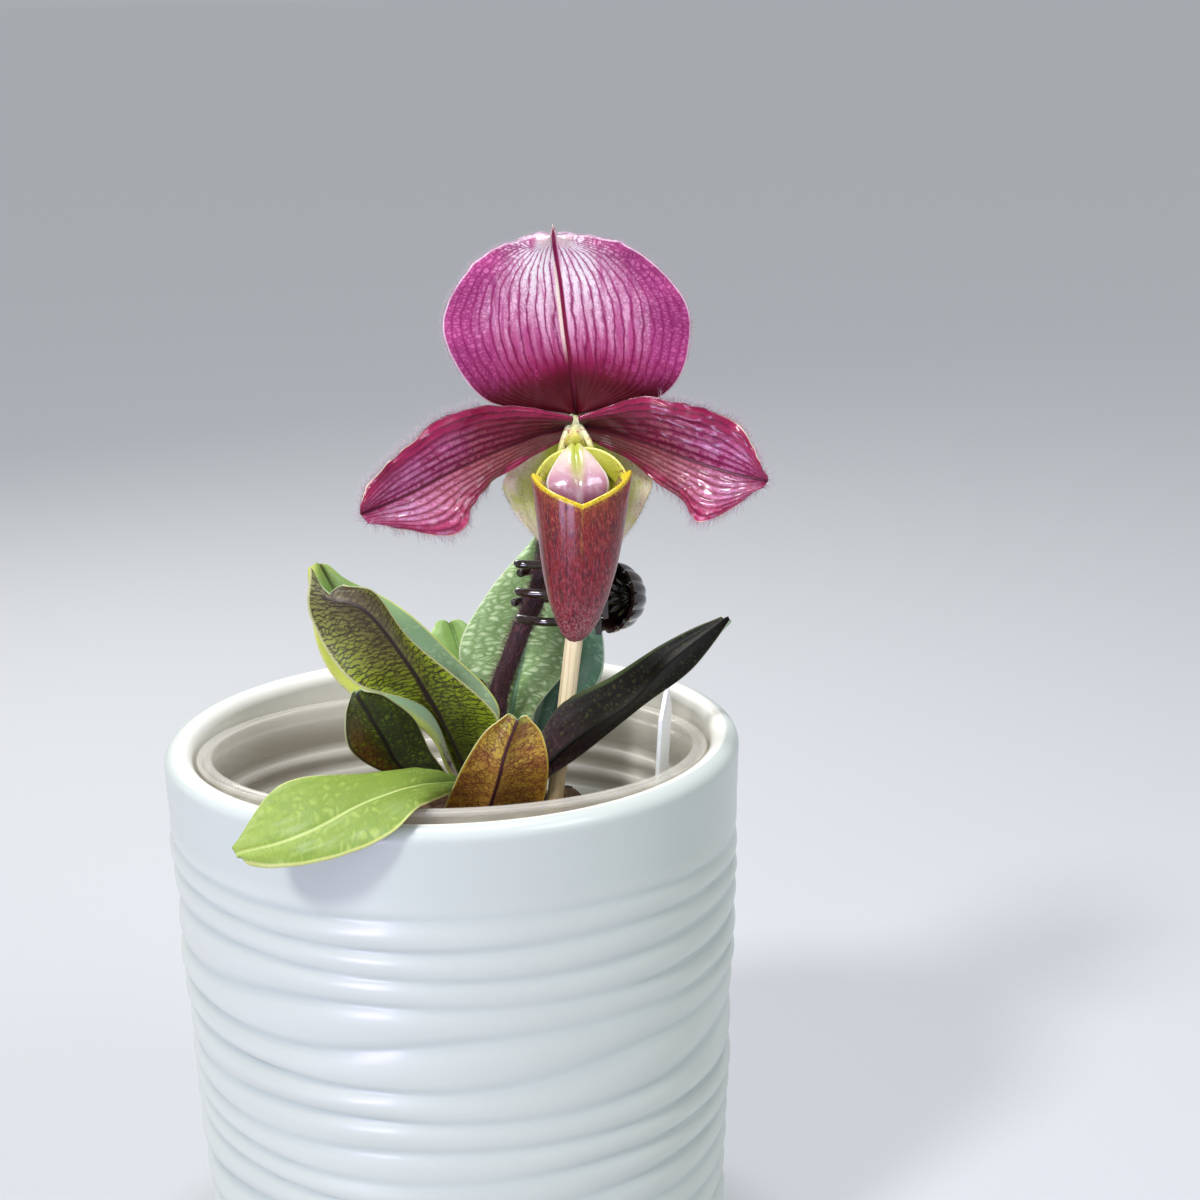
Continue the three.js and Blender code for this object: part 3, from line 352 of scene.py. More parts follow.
def livingTissue(name, look):
    # a colour that changes from foot to tip, then layers painted over it: colour, strength, and where
    look = {**plainTissue, **look}
    drift = 0.16  # how far clouds push the colours along
    material, add = newMaterial(name)
    placeMark = add("Attribute", attribute_name="place")
    sheetMark = add("Attribute", attribute_name="sheet")
    place = add("SeparateXYZ", {0: (placeMark, "Vector")})
    sheet = add("SeparateXYZ", {0: (sheetMark, "Vector")})
    marks = {
        "sheet": (sheetMark, "Vector"),
        "across": (place, "X"),
        "side": add("Math", {0: (place, "X")}, operation="ABSOLUTE"),
        "along": (place, "Y"),
        "fromEdge": (place, "Z"),
        "reach": add("Math", {0: (sheet, "X")}, operation="ABSOLUTE"),
        "length": (sheet, "Y"),
    }
    cloudSize = add("Mapping", {"Vector": marks["sheet"], "Scale": (0.12, 0.12, 0.12)})
    cloud = add("TexNoise", {"Vector": cloudSize, "Scale": 1.0, "Detail": 3.0})
    height = add("Math", {0: cloud, 1: drift, 2: (place, "Y")}, operation="MULTIPLY_ADD")
    height = add("Math", {0: height, 1: drift / 2}, operation="SUBTRACT")
    colour = add("ValToRGB", {0: height}, stops=look["along"])
    for over, strength, *where in look["layers"]:
        if not isinstance(over, str):
            over = add("ValToRGB", {0: height}, stops=over)
        mask = tissueMask(add, marks, where)
        mask = add("Math", {0: mask, 1: strength}, operation="MULTIPLY")
        colour = add("Mix", {0: mask, 6: colour, 7: over})
    across, lengthwise = look["grain"]
    scale = (1 / across, 1 / lengthwise, 1 / across)
    grainSize = add("Mapping", {"Vector": marks["sheet"], "Scale": scale})
    grain = add("TexNoise", {"Vector": grainSize, "Scale": 1.0, "Detail": 3.0})
    # sugar: the grain lightens and darkens the colour a little, partly the cells' own tone and partly
    # painted sparkle of the cells
    shade = add("MapRange", {
        "Value": grain, "From Min": 0.3, "From Max": 0.7,
        "To Min": 1 - look["sugar"], "To Max": 1 + look["sugar"],
    })
    colour = add("HueSaturation", {"Color": colour, "Value": shade})
    bump = add("Bump", {"Height": grain, "Strength": look["bump"], "Distance": 0.00012})
    return finishMaterial(material, {
        "Base Color": colour,
        "Normal": bump,
        "Roughness": look["roughness"],
        "IOR": 1.42,
        "Specular IOR Level": look["shine"],
        "Coat Weight": look["coat"],
        "Coat Roughness": look["coatRoughness"],
        "Subsurface Weight": look["glow"],
        "Subsurface Radius": (1.0, 0.5, 0.3),
        "Subsurface Scale": 0.0012,
        "Sheen Weight": look["sheen"],
        "Sheen Roughness": 0.35,
        "Sheen Tint": "#e6d6f2",
    })


# blades: leaves, sepals and petals, drawn by a left margin, a midrib and a right margin

plainBlade = {
    "swell": 1,  # how far the halves bulge, in millimetres
    "wave": 0,  # how far the margin waves, and how often
    "waves": 3,
    "frill": 0,  # fine crimping of the margin, and how often
    "frills": 4,
    "points": [],  # teeth on the margin: side, share of the length, width and height
    "blunt": 0,
    "flip": 1,  # -1 where the left margin is the lower one
    "seed": 0,
    "ribWidth": 1.1,
}


def frilled(shape, s, t):
    # how far a crimped margin leaves the blade's own face, and how far it spreads sideways, in millimetres
    frill = shape["frill"] * np.abs(t) ** 4 * smooth(0.08, 0.25, s)
    phase = 7 * s * shape["frills"] + np.where(t < 0, 3.1, 0.4) + shape["seed"]
    lift = frill * (np.sin(phase) + 0.5 * np.sin(2.3 * phase + 1))
    swing = np.sin(0.9 * phase + 2) + 0.3 * np.sin(3.1 * phase + 2 * np.sin(phase))
    spread = 0.5 * frill * np.sign(t) * swing
    for side, where, width, height in shape["points"]:
        spread += height * np.clip(t * side, 0, 1) ** 10 * side * math.exp(-(((s - where) / width) ** 2))
    return lift, spread


def bladeGrid(shape, rows, columns):
    # points of the blade's middle face, with the directions and marks that belong to each
    shape = {**plainBlade, **shape}
    margins = [np.asarray(shape[key], float) for key in ("left", "mid", "right")]
    last = len(margins[1]) - 1
    t = np.linspace(-1, 1, columns + 1)
    side = np.abs(t)
    walked = 0.0
    before = None
    grid = {"centre": [], "normal": [], "across": [], "place": [], "sheet": []}
    for r in range(rows):
        s = r / (rows - 1)
        u = last * (1 - (1 - s) ** 1.25)  # rows lie closer near the tip
        left, middle, right = (along(curve, u) for curve in margins)
        ahead, behind = min(u + 0.05, last), max(u - 0.05, 0)
        tangent = sum(along(curve, ahead) - along(curve, behind) for curve in margins)
        across = unit(right - left)
        normal = unit(np.cross(across, unit(tangent)))
        walked += 0.0 if before is None else float(np.linalg.norm(middle - before))
        before = middle
        waving = np.sin(2 * math.pi * shape["waves"] * s + np.where(t < 0, 0, 1.8))
        frill, spread = frilled(shape, s, t)
        lift = shape["swell"] * 4 * side * (1 - side) + shape["wave"] * side**2 * waving + frill
        edges = np.where((t < 0)[:, None], left, right)
        half = np.where(t < 0, np.linalg.norm(left - middle), np.linalg.norm(right - middle))
        blunt = shape["blunt"] * smooth(0.88, 1.0, s)
        reach = side * (1 - 0.3 * blunt * side**3)
        flat = middle + (edges - middle) * reach[:, None] + np.outer(spread, across)
        flat = flat + np.outer(0.5 * blunt * (1 - side**2), unit(tangent))
        grid["centre"].append(flat + np.outer(lift, normal))
        grid["normal"].append(np.tile(normal, (columns + 1, 1)))
        grid["across"].append(np.tile(across, (columns + 1, 1)))
        grid["place"].append(np.stack([t * shape["flip"], np.full_like(t, s), half * (1 - side)], 1))
        shift = 7.3 * shape["seed"]  # so that no two blades show the same patches
        grid["sheet"].append(np.stack([half * t, np.full_like(t, walked), np.full_like(t, shift)], 1))
    return {key: np.array(value) for key, value in grid.items()}


def bladePiece(node, shape, skins, thickness=0.9, keel=0.5, rows=96, columns=48, relief=None):
    # thin margins, a groove above the midrib and a keel under it; skins are the upper and the lower one
    grid = bladeGrid(shape, rows, columns)
    place, sheet, normal = grid["place"], grid["sheet"], grid["normal"]
    side = np.abs(place[:, :, 0])
    tip = 0.55 + 0.45 * smooth(1.0, 0.965, place[:, :, 1])
    half = thickness / 2 * (0.3 + 0.7 * np.sqrt(1 - side**5)) * tip
    fold = relief(place, sheet) if relief else np.zeros(half.shape)
    reach = np.abs(sheet[:, :, 0])
    ribWidth = shape.get("ribWidth", plainBlade["ribWidth"])
    rib = keel * np.exp(-((reach / ribWidth) ** 2)) * tip
    groove = 0.45 * keel * np.exp(-((reach / (0.6 * ribWidth)) ** 2))
    upper = grid["centre"] + normal * (half - groove + fold)[:, :, None]
    lower = grid["centre"] - normal * (half + rib - fold)[:, :, None]
    sides = 2 * (columns + 1)
    faces = ringFaces(rows, sides)[:-2]
    faceSkins = [1 if columns < k % sides < sides - 1 else 0 for k in range(len(faces))]
    for start, turned in ((0, True), ((rows - 1) * sides, False)):
        for k in range(columns):
            face = (start + k, start + k + 1, start + sides - 2 - k, start + sides - 1 - k)
            faces.append(face[::-1] if turned else face)
            faceSkins.append(0)
    marks = {}
    for mark in ("place", "sheet"):
        marks[mark] = np.concatenate([grid[mark], grid[mark][:, ::-1]], 1).reshape(-1, 3)
    points = np.concatenate([upper, lower[:, ::-1]], 1).reshape(-1, 3)
    makePiece(node + "_blade", {"points": points, "faces": faces, "marks": marks}, skins,
              stands=[node], skins=faceSkins)


def marginRoots(shape, look, chance):
    # along both margins and over the tip, pointing away from the blade
    grid = bladeGrid(shape, 160, 8)
    centre, normal, across = grid["centre"], grid["normal"], grid["across"]
    roots = []
    for column, way in ((0, -1), (-1, 1)):
        line = centre[:, column]
        steps = np.linalg.norm(np.diff(line, axis=0), axis=1)
        walked = np.concatenate([[0], np.cumsum(steps)])
        position = walked[-1] * look["from"]
        while position < walked[-1]:
            row = min(max(int(np.searchsorted(walked, position)) - 1, 0), len(line) - 2)
            ahead = line[row + 1] - line[row]
            foot = line[row] + ahead * (position - walked[row]) / max(steps[row], 1e-6)
            outward = across[row, 0] * way + unit(ahead) * 0.3 + normal[row, 0] * chance.gauss(0, 0.5)
            roots.append((foot, outward))
            position += look["spacing"] * (0.4 + 1.2 * chance.random())
    tip = centre[-1]
    for _ in range(int(np.linalg.norm(tip[-1] - tip[0]) / look["spacing"]) + 1):
        where = chance.random() * (len(tip) - 1.001)
        foot = tip[int(where)] + (tip[int(where) + 1] - tip[int(where)]) * (where % 1)
        roots.append((foot, unit(centre[-1, 4] - centre[-4, 4]) + normal[-1, 0] * chance.gauss(0, 0.5)))
    return roots


def surfaceRoots(shape, look, chance):
    # strewn over the upper face of a blade
    rows, columns = 80, 24
    grid = bladeGrid(shape, rows, columns)
    roots = []
    for _ in range(look["count"]):
        r = int((look["from"] + (look["to"] - look["from"]) * chance.random()) * (rows - 1))
        c = chance.randrange(columns + 1)
        roots.append((grid["centre"][r, c] + grid["normal"][r, c] * 0.3, grid["normal"][r, c]))
    return roots

# camera and light

camera = {
    "place": (0.0, -0.4771, 0.2865),
    "lens": 69.3,
    "sensor": 36.0,
    "nearest": 0.01,
    "pan": 0.068,
    "pitch": 0.259,
    "roll": -0.021,
}

studio = {
    "floor": "#bec0c2",
    "floorTooth": 1.5,  # millimetres
    "floorEdges": (-60, 60, -60, 90),  # metres: left, right, front, back
    "air": "#e6eaf0",
    "airStrength": 0.5,
    "aim": (0, 0, 0.15),
    "daylight": {"towards": (0.55, 0.62, -0.72), "power": 1.65, "softness": 10, "colour": "#fbfcff"},
    # place, size, power, colour, spread in degrees
    "lamps": {
        "window_strip": ((-0.42, -0.72, 0.3), (0.12, 0.56), 0.5, "#e9efff", 180),
        "soft_right": ((0.5, -0.45, 0.75), (0.3, 0.3), 2.2, "#eef2ff", 180),
        "back_edge": ((-0.3, 0.6, 0.6), (0.5, 0.3), 2.6, "#fffaf2", 180),
        "overhead": ((0.02, 0.02, 0.8), (0.14, 0.14), 3.2, "#f4f7ff", 180),
        "low_glint": ((-0.33, -0.48, 0.085), (0.17, 0.16), 0.1, "#d4c8ff", 50),
    },
}


def placeCamera():
    data = bpy.data.cameras.new("camera")
    data.lens = camera["lens"]
    data.sensor_width = camera["sensor"]
    data.clip_start = camera["nearest"]
    pan, pitch, roll = camera["pan"], camera["pitch"], camera["roll"]
    forward = Vector((math.sin(pan) * math.cos(pitch), math.cos(pan) * math.cos(pitch), -math.sin(pitch)))
    level = Vector((math.cos(pan), -math.sin(pan), 0))
    upright = level.cross(forward)
    right = math.cos(roll) * level + math.sin(roll) * upright
    up = -math.sin(roll) * level + math.cos(roll) * upright
    holder = newObject("camera", data)
    turned = Matrix((right, up, -forward)).transposed().to_4x4()
    holder.matrix_world = Matrix.Translation(camera["place"]) @ turned
    bpy.context.scene.camera = holder


def lightStudio():
    world = bpy.data.worlds.new("studio_air")
    world.use_nodes = True
    background = world.node_tree.nodes["Background"]
    background.inputs["Color"].default_value = tint(studio["air"])
    background.inputs["Strength"].default_value = studio["airStrength"]
    bpy.context.scene.world = world
    for name, (place, size, power, colour, spread) in studio["lamps"].items():
        data = bpy.data.lights.new(name, "AREA")
        data.shape = "RECTANGLE"
        data.size, data.size_y = size
        data.energy = power
        data.spread = math.radians(spread)
        data.color = tint(colour)[:3]
        holder = newObject(name, data)
        holder.location = place
        aim = Vector(studio["aim"]) - Vector(place)
        holder.rotation_euler = aim.to_track_quat("-Z", "Y").to_euler()
    sun = studio["daylight"]
    data = bpy.data.lights.new("daylight", "SUN")
    data.energy = sun["power"]
    data.angle = math.radians(sun["softness"])
    data.color = tint(sun["colour"])[:3]
    newObject("daylight", data).rotation_euler = Vector(sun["towards"]).to_track_quat("-Z", "Y").to_euler()


def layFloor():
    # seamless matt paper: no shine, and a faint tooth painted into its colour as tiny specks of light and
    # shade
    paper, add = newMaterial("matt_paper")
    where = add("TexCoord")
    tooth = add("TexNoise", {
        "Vector": (where, "Object"), "Scale": 1000 / studio["floorTooth"], "Detail": 3.0,
    })
    shade = add("MapRange", {"Value": tooth, "To Min": 0.98, "To Max": 1.02})
    colour = add("HueSaturation", {"Color": studio["floor"], "Value": shade})
    finishMaterial(paper, {"Base Color": colour, "Roughness": 0.85})
    left, right, front, back = studio["floorEdges"]
    mesh = bpy.data.meshes.new("floor")
    corners = [(left, front, 0), (right, front, 0), (right, back, 0), (left, back, 0)]
    mesh.from_pydata(corners, [], [(0, 1, 2, 3)])
    mesh.materials.append(paper)
    floor = newObject("floor", mesh)


placeCamera()
lightStudio()
layFloor()
bpy.context.scene.view_settings.view_transform = "Standard"
print("camera, lamps and floor set up")

# cover pot: hand-thrown ribs under a white glaze

coverPot = {
    "height": 132,
    "lipRadius": 61.75,
    "lipRound": 3,
    "taper": 0.044,
    "wall": 6,
    "floor": 6,
    "floorFillet": 3,
    "floorMiddle": 20,
    "baseEdge": 1.5,
    "ribFirst": 9,
    "ribPitch": 7.2,
    "ribCount": 15,
    "ribDepth": 0.95,
    "ribFadeAt": -76,  # degrees round the pot where the thrower's hand has nearly smoothed the ribs away
    "ribFadeWidth": 34,
    "ribFade": 0.72,
    "segments": 288,
    "rowStep": 0.65,
    "glaze": "#cbd1c8",
    # painted light: the inner wall gets a lighter colour than the outside glaze, to brighten the shade
    # inside the pot
    "inside": "#f4f1e6",
    "pool": "#adb9b6",  # where the glaze lies thicker, in the grooves
    "speck": "#57524c",
    "speckSize": 0.35,
    "speckSpacing": 12,
    "speckShare": 0.2,
}


def glazedStoneware():
    # stoneware under a clear white glaze, fired glossy: soft wide highlights, cooler in the grooves,
    # and a few iron specks; the inner wall is painted lighter than the outside, as painted light in the
    # shaded inside
    p = coverPot
    material, add = newMaterial("glazed_stoneware")
    where = add("TexCoord")
    mark = add("Attribute", attribute_name="place")
    ribs = add("SeparateXYZ", {0: (mark, "Vector")})
    pooled = add("MapRange", {"Value": (ribs, "X"), "From Min": 0.2, "From Max": -0.8})
    colour = add("Mix", {0: pooled, 6: p["glaze"], 7: p["pool"]})
    # painted light: the inner wall takes the lighter inside colour
    colour = add("Mix", {0: (ribs, "Y"), 6: colour, 7: p["inside"]})
    size = p["speckSize"] / p["speckSpacing"]
    iron = specks(add, (where, "Object"), 1000 / p["speckSpacing"], p["speckShare"], size, size * 0.5)
    colour = add("Mix", {0: iron, 6: colour, 7: p["speck"]})
    cloud = add("TexNoise", {"Vector": (where, "Object"), "Scale": 28.0, "Detail": 3.0})
    shade = add("MapRange", {"Value": cloud, "To Min": 0.96, "To Max": 1.03})
    colour = add("HueSaturation", {"Color": colour, "Value": shade})
    skin = add("TexNoise", {"Vector": (where, "Object"), "Scale": 350.0, "Detail": 2.0})
    bump = add("Bump", {"Height": skin, "Strength": 0.12, "Distance": 0.0003})
    dull = add("MapRange", {"Value": cloud, "To Min": 0.3, "To Max": 0.42})
    return finishMaterial(material, {
        "Base Color": colour, "Roughness": dull, "Normal": bump, "IOR": 1.52,
        "Coat Weight": 0.35, "Coat Roughness": 0.16,
    })


def ribRelief(z, turns):
    # how far the ribs stand out at one height, all round; they wander, fade and vary as the hand did
    p = coverPot
    rib = (z - p["ribFirst"]) / p["ribPitch"]
    rib = rib - (1.8 * np.sin(turns + rib * 0.8) + 0.9 * np.sin(3 * turns + rib * 1.7)) / p["ribPitch"]
    window = smooth(-1.0, 0.0, rib) * smooth(p["ribCount"] + 0.4, p["ribCount"] - 1.1, rib)
    band = 2 * np.abs(np.cos(math.pi * rib)) ** 0.8 - 1  # broad crests, narrow grooves
    front = np.angle(np.exp(1j * (turns - math.radians(p["ribFadeAt"] + 8 * math.sin(z[0] * 0.09)))))
    fade = 1 - p["ribFade"] * np.exp(-((front / math.radians(p["ribFadeWidth"])) ** 2))
    strength = 0.75 + 0.2 * np.sin(2 * turns + rib * 1.3) + 0.15 * np.sin(5 * turns + rib * 2.1)
    return p["ribDepth"] * band * strength * window * fade


def throwCoverPot():
    p = coverPot
    lip, edge, wall, fillet = p["lipRound"], p["baseEdge"], p["wall"], p["floorFillet"]
    lipZ = p["height"] - lip
    turns = turnsOf(p["segments"])

    def outer(z):
        return p["lipRadius"] - p["taper"] * (lipZ - z)

    # height, radius and share of the ribs: foot, ribbed side, lip, inner side and floor
    profile = [(0, outer(0) - edge - 3, 0)]
    for turn in np.linspace(0, math.pi / 2, 6):
        profile.append((edge * (1 - math.cos(turn)), outer(0) - edge * (1 - math.sin(turn)), 0))
    for z in np.arange(edge + p["rowStep"], lipZ - 0.3, p["rowStep"]):
        profile.append((z, outer(z), 1))
    for turn in np.linspace(0, math.pi, 19):
        profile.append((lipZ + lip * math.sin(turn), p["lipRadius"] - lip * (1 - math.cos(turn)), 0))
    for z in np.arange(lipZ - 3, p["floor"] + fillet, -4):
        profile.append((z, outer(z) - wall, 0))
    for turn in np.linspace(0, math.pi / 2, 7)[1:]:
        inner = outer(p["floor"]) - wall - fillet * (1 - math.cos(turn))
        profile.append((p["floor"] + fillet * (1 - math.sin(turn)), inner, 0))
    profile.append((p["floor"], p["floorMiddle"], 0))
    rows = []
    marks = []
    for z, radius, ribbed in profile:
        relief = ribRelief(np.full_like(turns, z), turns) * ribbed
        rows.append(ring(radius + relief, turns, z))
        # marks the inner wall, which gets the painted lighter inside colour
        lining = np.full_like(turns, float(radius < outer(z) - 3))
        marks.append(np.stack([relief, lining, relief], 1))
    part = {"points": np.concatenate(rows), "faces": ringFaces(len(rows), len(turns)),
            "marks": {"place": np.concatenate(marks)}}
    makePiece("cover_pot", part, [glazedStoneware()], stands=["ceramic_pot"])


throwCoverPot()
print("cover pot thrown and glazed")


# nursery pot: thin clear plastic, leaning back a little inside the cover

nurseryPot = {
    "rimZ": 128.8,
    "leanBack": -0.079,
    "leanSide": 0.01,
    "flangeRadius": 55,
    "mouthRadius": 51.6,
    "skirtRadius": 53.7,
    "footRadius": 39.5,
    "height": 118.4,
    "wall": 0.9,
    "ridges": 3,
    "ridgePitch": 5,
    "holes": 6,
    "holeRadius": 3.5,
    "holeRing": 24,
    "segments": 180,
    "haze": "#f6f1e4",
    "stain": "#b39a70",
    "speck": "#8a4a20",
    "speckSpacing": 14,
    "speckShare": 0.14,
    "clearness": (0.08, 0.19),
    "flange": 0.34,
    "dirt": 0.3,
}
lean = (Matrix.Translation((0, 0, nurseryPot["rimZ"])) @ Matrix.Rotation(nurseryPot["leanSide"], 4, "Y")
        @ Matrix.Rotation(nurseryPot["leanBack"], 4, "X"))


def leant(points):
    return np.asarray(points, float) @ np.array(lean.to_3x3()).T + np.array(lean.translation)


def mouth(z):
    # inner radius of the pot at a height below its rim
    p = nurseryPot
    return p["mouthRadius"] + (p["mouthRadius"] - p["footRadius"]) * z / p["height"]


def clearPolypropylene():
    # injection-moulded clear polypropylene: see-through with a warm haze, flow lines round it,
    # and dried water marks low down
    p = nurseryPot
    material, add = newMaterial("clear_polypropylene")
    mark = add("Attribute", attribute_name="sheet")
    sheet = add("SeparateXYZ", {0: (mark, "Vector")})
    stretched = add("Mapping", {"Vector": (mark, "Vector"), "Scale": (0.02, 0.02, 0.7)})
    flow = add("TexNoise", {"Vector": stretched, "Scale": 1.0, "Detail": 4.0})
    low = add("MapRange", {"Value": (sheet, "Z"), "From Min": -5.0, "From Max": -22.0})
    water = add("TexNoise", {"Vector": (mark, "Vector"), "Scale": 0.12, "Detail": 5.0})
    dirty = add("Math", {0: low, 1: water}, operation="MULTIPLY")
    colour = add("Mix", {0: dirty, 6: p["haze"], 7: p["stain"]})
    veil = add("MapRange", {
        "Value": flow, "From Min": 0.3, "From Max": 0.7,
        "To Min": p["clearness"][0], "To Max": p["clearness"][1],
    })
    veil = add("Math", {0: dirty, 1: p["dirt"], 2: veil}, operation="MULTIPLY_ADD")
    thick = add("MapRange", {
        "Value": (sheet, "Z"), "From Min": -3.8, "From Max": -3.2, "To Max": p["flange"],
    })
    veil = add("Math", {0: veil, 1: thick}, operation="MAXIMUM")
    rust = specks(add, (mark, "Vector"), 1 / p["speckSpacing"], p["speckShare"], 0.07, 0.04)
    colour = add("Mix", {0: rust, 6: colour, 7: p["speck"]})
    veil = add("Math", {0: veil, 1: rust}, operation="MAXIMUM")
    bump = add("Bump", {"Height": flow, "Strength": 0.25, "Distance": 0.0004})
    return finishMaterial(material, {
        "Base Color": colour, "Alpha": veil, "Normal": bump, "Roughness": 0.16, "IOR": 1.49,
        "Coat Weight": 0.5, "Coat Roughness": 0.06,
    })


def nurseryProfile():
    # radius and height below the rim: up the outside, over skirt and flange, and down the inside
    p = nurseryPot
    foot, wall, low = p["footRadius"], p["wall"], -p["height"]
    outside = [(foot - 2, low), (foot + wall - 0.5, low + 0.4), (foot + wall, low + 2)]
    inside = []
    for depth in range(104, 24, -8):
        outside.append((mouth(-depth) + wall, -depth))
        inside.insert(0, (mouth(-depth), -depth))
    for k in range(p["ridges"], 0, -1):
        bead = []
        for step in range(9):
            turn = math.pi * step / 8
            z = -5 - k * p["ridgePitch"] - 1.2 * math.cos(turn)
            bead.append((mouth(z) + 0.5 * math.sin(turn) ** 0.8, z))
        outside += [(radius + wall, z) for radius, z in bead]
        inside = bead[::-1] + inside
    rim, skirt, flange = p["mouthRadius"], p["skirtRadius"], p["flangeRadius"]
    outside += [(rim + wall, -4.2), (rim + wall + 0.3, -3.7), (skirt - 0.3, -3.5), (skirt, -3.2)]
    outside += [(skirt, -1.5), (skirt + 0.2, -1.3), (flange - 0.3, -1.2), (flange, -0.9), (flange, -0.4)]
    outside += [(flange - 0.15, -0.1), (flange - 0.4, 0), (flange - 1.0, -0.05), (flange - 1.3, -0.25)]
    outside += [(rim + 1.5, -0.25), (rim + 1.2, -0.02), (rim + 0.5, 0), (rim + 0.15, -0.15), (rim, -0.5)]
    return outside + inside + [(foot, low + 2.4), (foot - 2, low + 1)]


def mouldNurseryPot():
    p = nurseryPot
    turns = turnsOf(p["segments"])
    rows = [ring(radius, turns, z) for radius, z in nurseryProfile()]
    flat = np.concatenate(rows)
    part = {"points": leant(flat), "faces": ringFaces(len(rows), len(turns)), "marks": {"sheet": flat}}
    pot = makePiece("clear_nursery_pot", part, [clearPolypropylene()],
                    stands=["nursery_pot"])
    drills = []
    for k in range(p["holes"]):
        turn = 2 * math.pi * k / p["holes"]
        bpy.ops.mesh.primitive_cylinder_add(vertices=24, radius=p["holeRadius"] * mm, depth=6 * mm)
        drill = bpy.context.object
        out = Vector((math.cos(turn), math.sin(turn), 0)) * p["holeRing"]
        centre = lean @ (out - Vector((0, 0, p["height"])))
        drill.matrix_world = Matrix.Translation(centre * mm) @ lean.to_3x3().to_4x4()
        cut = pot.modifiers.new("drain_hole", "BOOLEAN")
        cut.operation = "DIFFERENCE"
        cut.object = drill
        drills.append(drill)
    bpy.context.view_layer.objects.active = pot
    for modifier in list(pot.modifiers):
        bpy.ops.object.modifier_apply(modifier=modifier.name)
    for drill in drills:
        bpy.data.objects.remove(drill)


mouldNurseryPot()
print("nursery pot moulded")


# potting medium: chips of pine bark over a packed plug

bark = {
    "top": -24,
    "gap": 0.3,
    "chips": 120,
    "smallest": 5,
    "spread": 44,
    "tumble": 1.1,
    "seed": 41,
    "dark": "#2a1c14",
    "brown": "#5d402b",
    "pale": "#8b6a4a",
    "moss": "#4a5a22",
}


def pineBark():
    # split pine bark: rough matt layers from dark brown to tan, some green with moss
    material, add = newMaterial("pine_bark")
    placeMark = add("Attribute", attribute_name="place")
    sheetMark = add("Attribute", attribute_name="sheet")
    chip = add("SeparateXYZ", {0: (placeMark, "Vector")})
    layered = add("Mapping", {"Vector": (sheetMark, "Vector"), "Scale": (0.25, 0.9, 2.4)})
    fibre = add("TexNoise", {"Vector": layered, "Scale": 1.0, "Detail": 6.0, "Roughness": 0.65})
    mixed = add("Math", {0: fibre, 1: (chip, "X")}, operation="ADD")
    stops = [(0.35, bark["dark"]), (0.62, bark["brown"]), (0.95, bark["pale"])]
    colour = add("ValToRGB", {0: mixed}, stops=stops)
    green = add("TexNoise", {"Vector": (sheetMark, "Vector"), "Scale": 0.16, "Detail": 4.0})
    moss = add("MapRange", {"Value": green, "From Min": 0.6, "From Max": 0.72, "To Max": 0.7})
    colour = add("Mix", {0: moss, 6: colour, 7: bark["moss"]})
    bump = add("Bump", {"Height": fibre, "Strength": 0.8, "Distance": 0.0006})
    return finishMaterial(material, {"Base Color": colour, "Normal": bump, "Roughness": 0.9})


def chip(size, chance, steps=4):
    # a box of steps x steps faces a side, its corners nudged and its faces roughened by noise
    points = []
    index = {}
    faces = []
    shift = Vector([chance.random() * 50 for _ in range(3)])
    nudges = [np.array([chance.random() - 0.5 for _ in range(3)]) * 0.35 for _ in range(8)]

    def corner(*at):
        if at not in index:
            f = np.array(at) / steps * 2 - 1
            nudge = nudges[(f[0] > 0) + 2 * (f[1] > 0) + 4 * (f[2] > 0)]
            rough = np.array(noise.noise_vector(Vector(f * 1.6) + shift)) * 0.16
            index[at] = len(points)
            points.append((f * (1 - 0.14 * (np.dot(f, f) - 1)) + nudge + rough) * np.array(size) / 2)
        return index[at]

    for axis in range(3):
        for level in (0, steps):
            for a in range(steps):
                for b in range(steps):
                    face = []
                    for da, db in ((0, 0), (1, 0), (1, 1), (0, 1)):
                        at = [a + da, b + db]
                        at.insert(axis, level)
                        face.append(corner(*at))
                    faces.append(tuple(face[::-1]) if (level == 0) != (axis == 1) else tuple(face))
    return np.array(points), faces


def packedPlug():
    # the body under the chips: radius and height below the rim, a little lumpy
    p = nurseryPot
    gap, top, foot = bark["gap"], bark["top"], 2.4 - p["height"]
    plug = [(p["footRadius"] - 3, -p["height"] + 1 + gap), (mouth(foot) - gap - 0.6, foot + 1)]
    plug += [(mouth(z) - gap, z) for z in (-90, -60, -40)]
    plug += [(mouth(top) - gap - 0.5, top - 4), (mouth(top) - 5, top - 1.5)]
    plug += [(34, top - 0.5), (22, top + 0.5), (8, top + 1)]
    turns = turnsOf(96)
    rows = []
    for radius, z in plug:
        spots = [Vector((math.cos(a) * radius * 0.2, math.sin(a) * radius * 0.2, z * 0.2)) for a in turns]
        lump = np.array([noise.noise(spot) for spot in spots])
        rows.append(ring(radius - np.abs(lump) * 1.4, turns, z))
    flat = np.concatenate(rows)
    return {"points": leant(flat), "faces": ringFaces(len(rows), len(turns)),
            "marks": {"sheet": flat, "place": np.full_like(flat, -0.08)}}


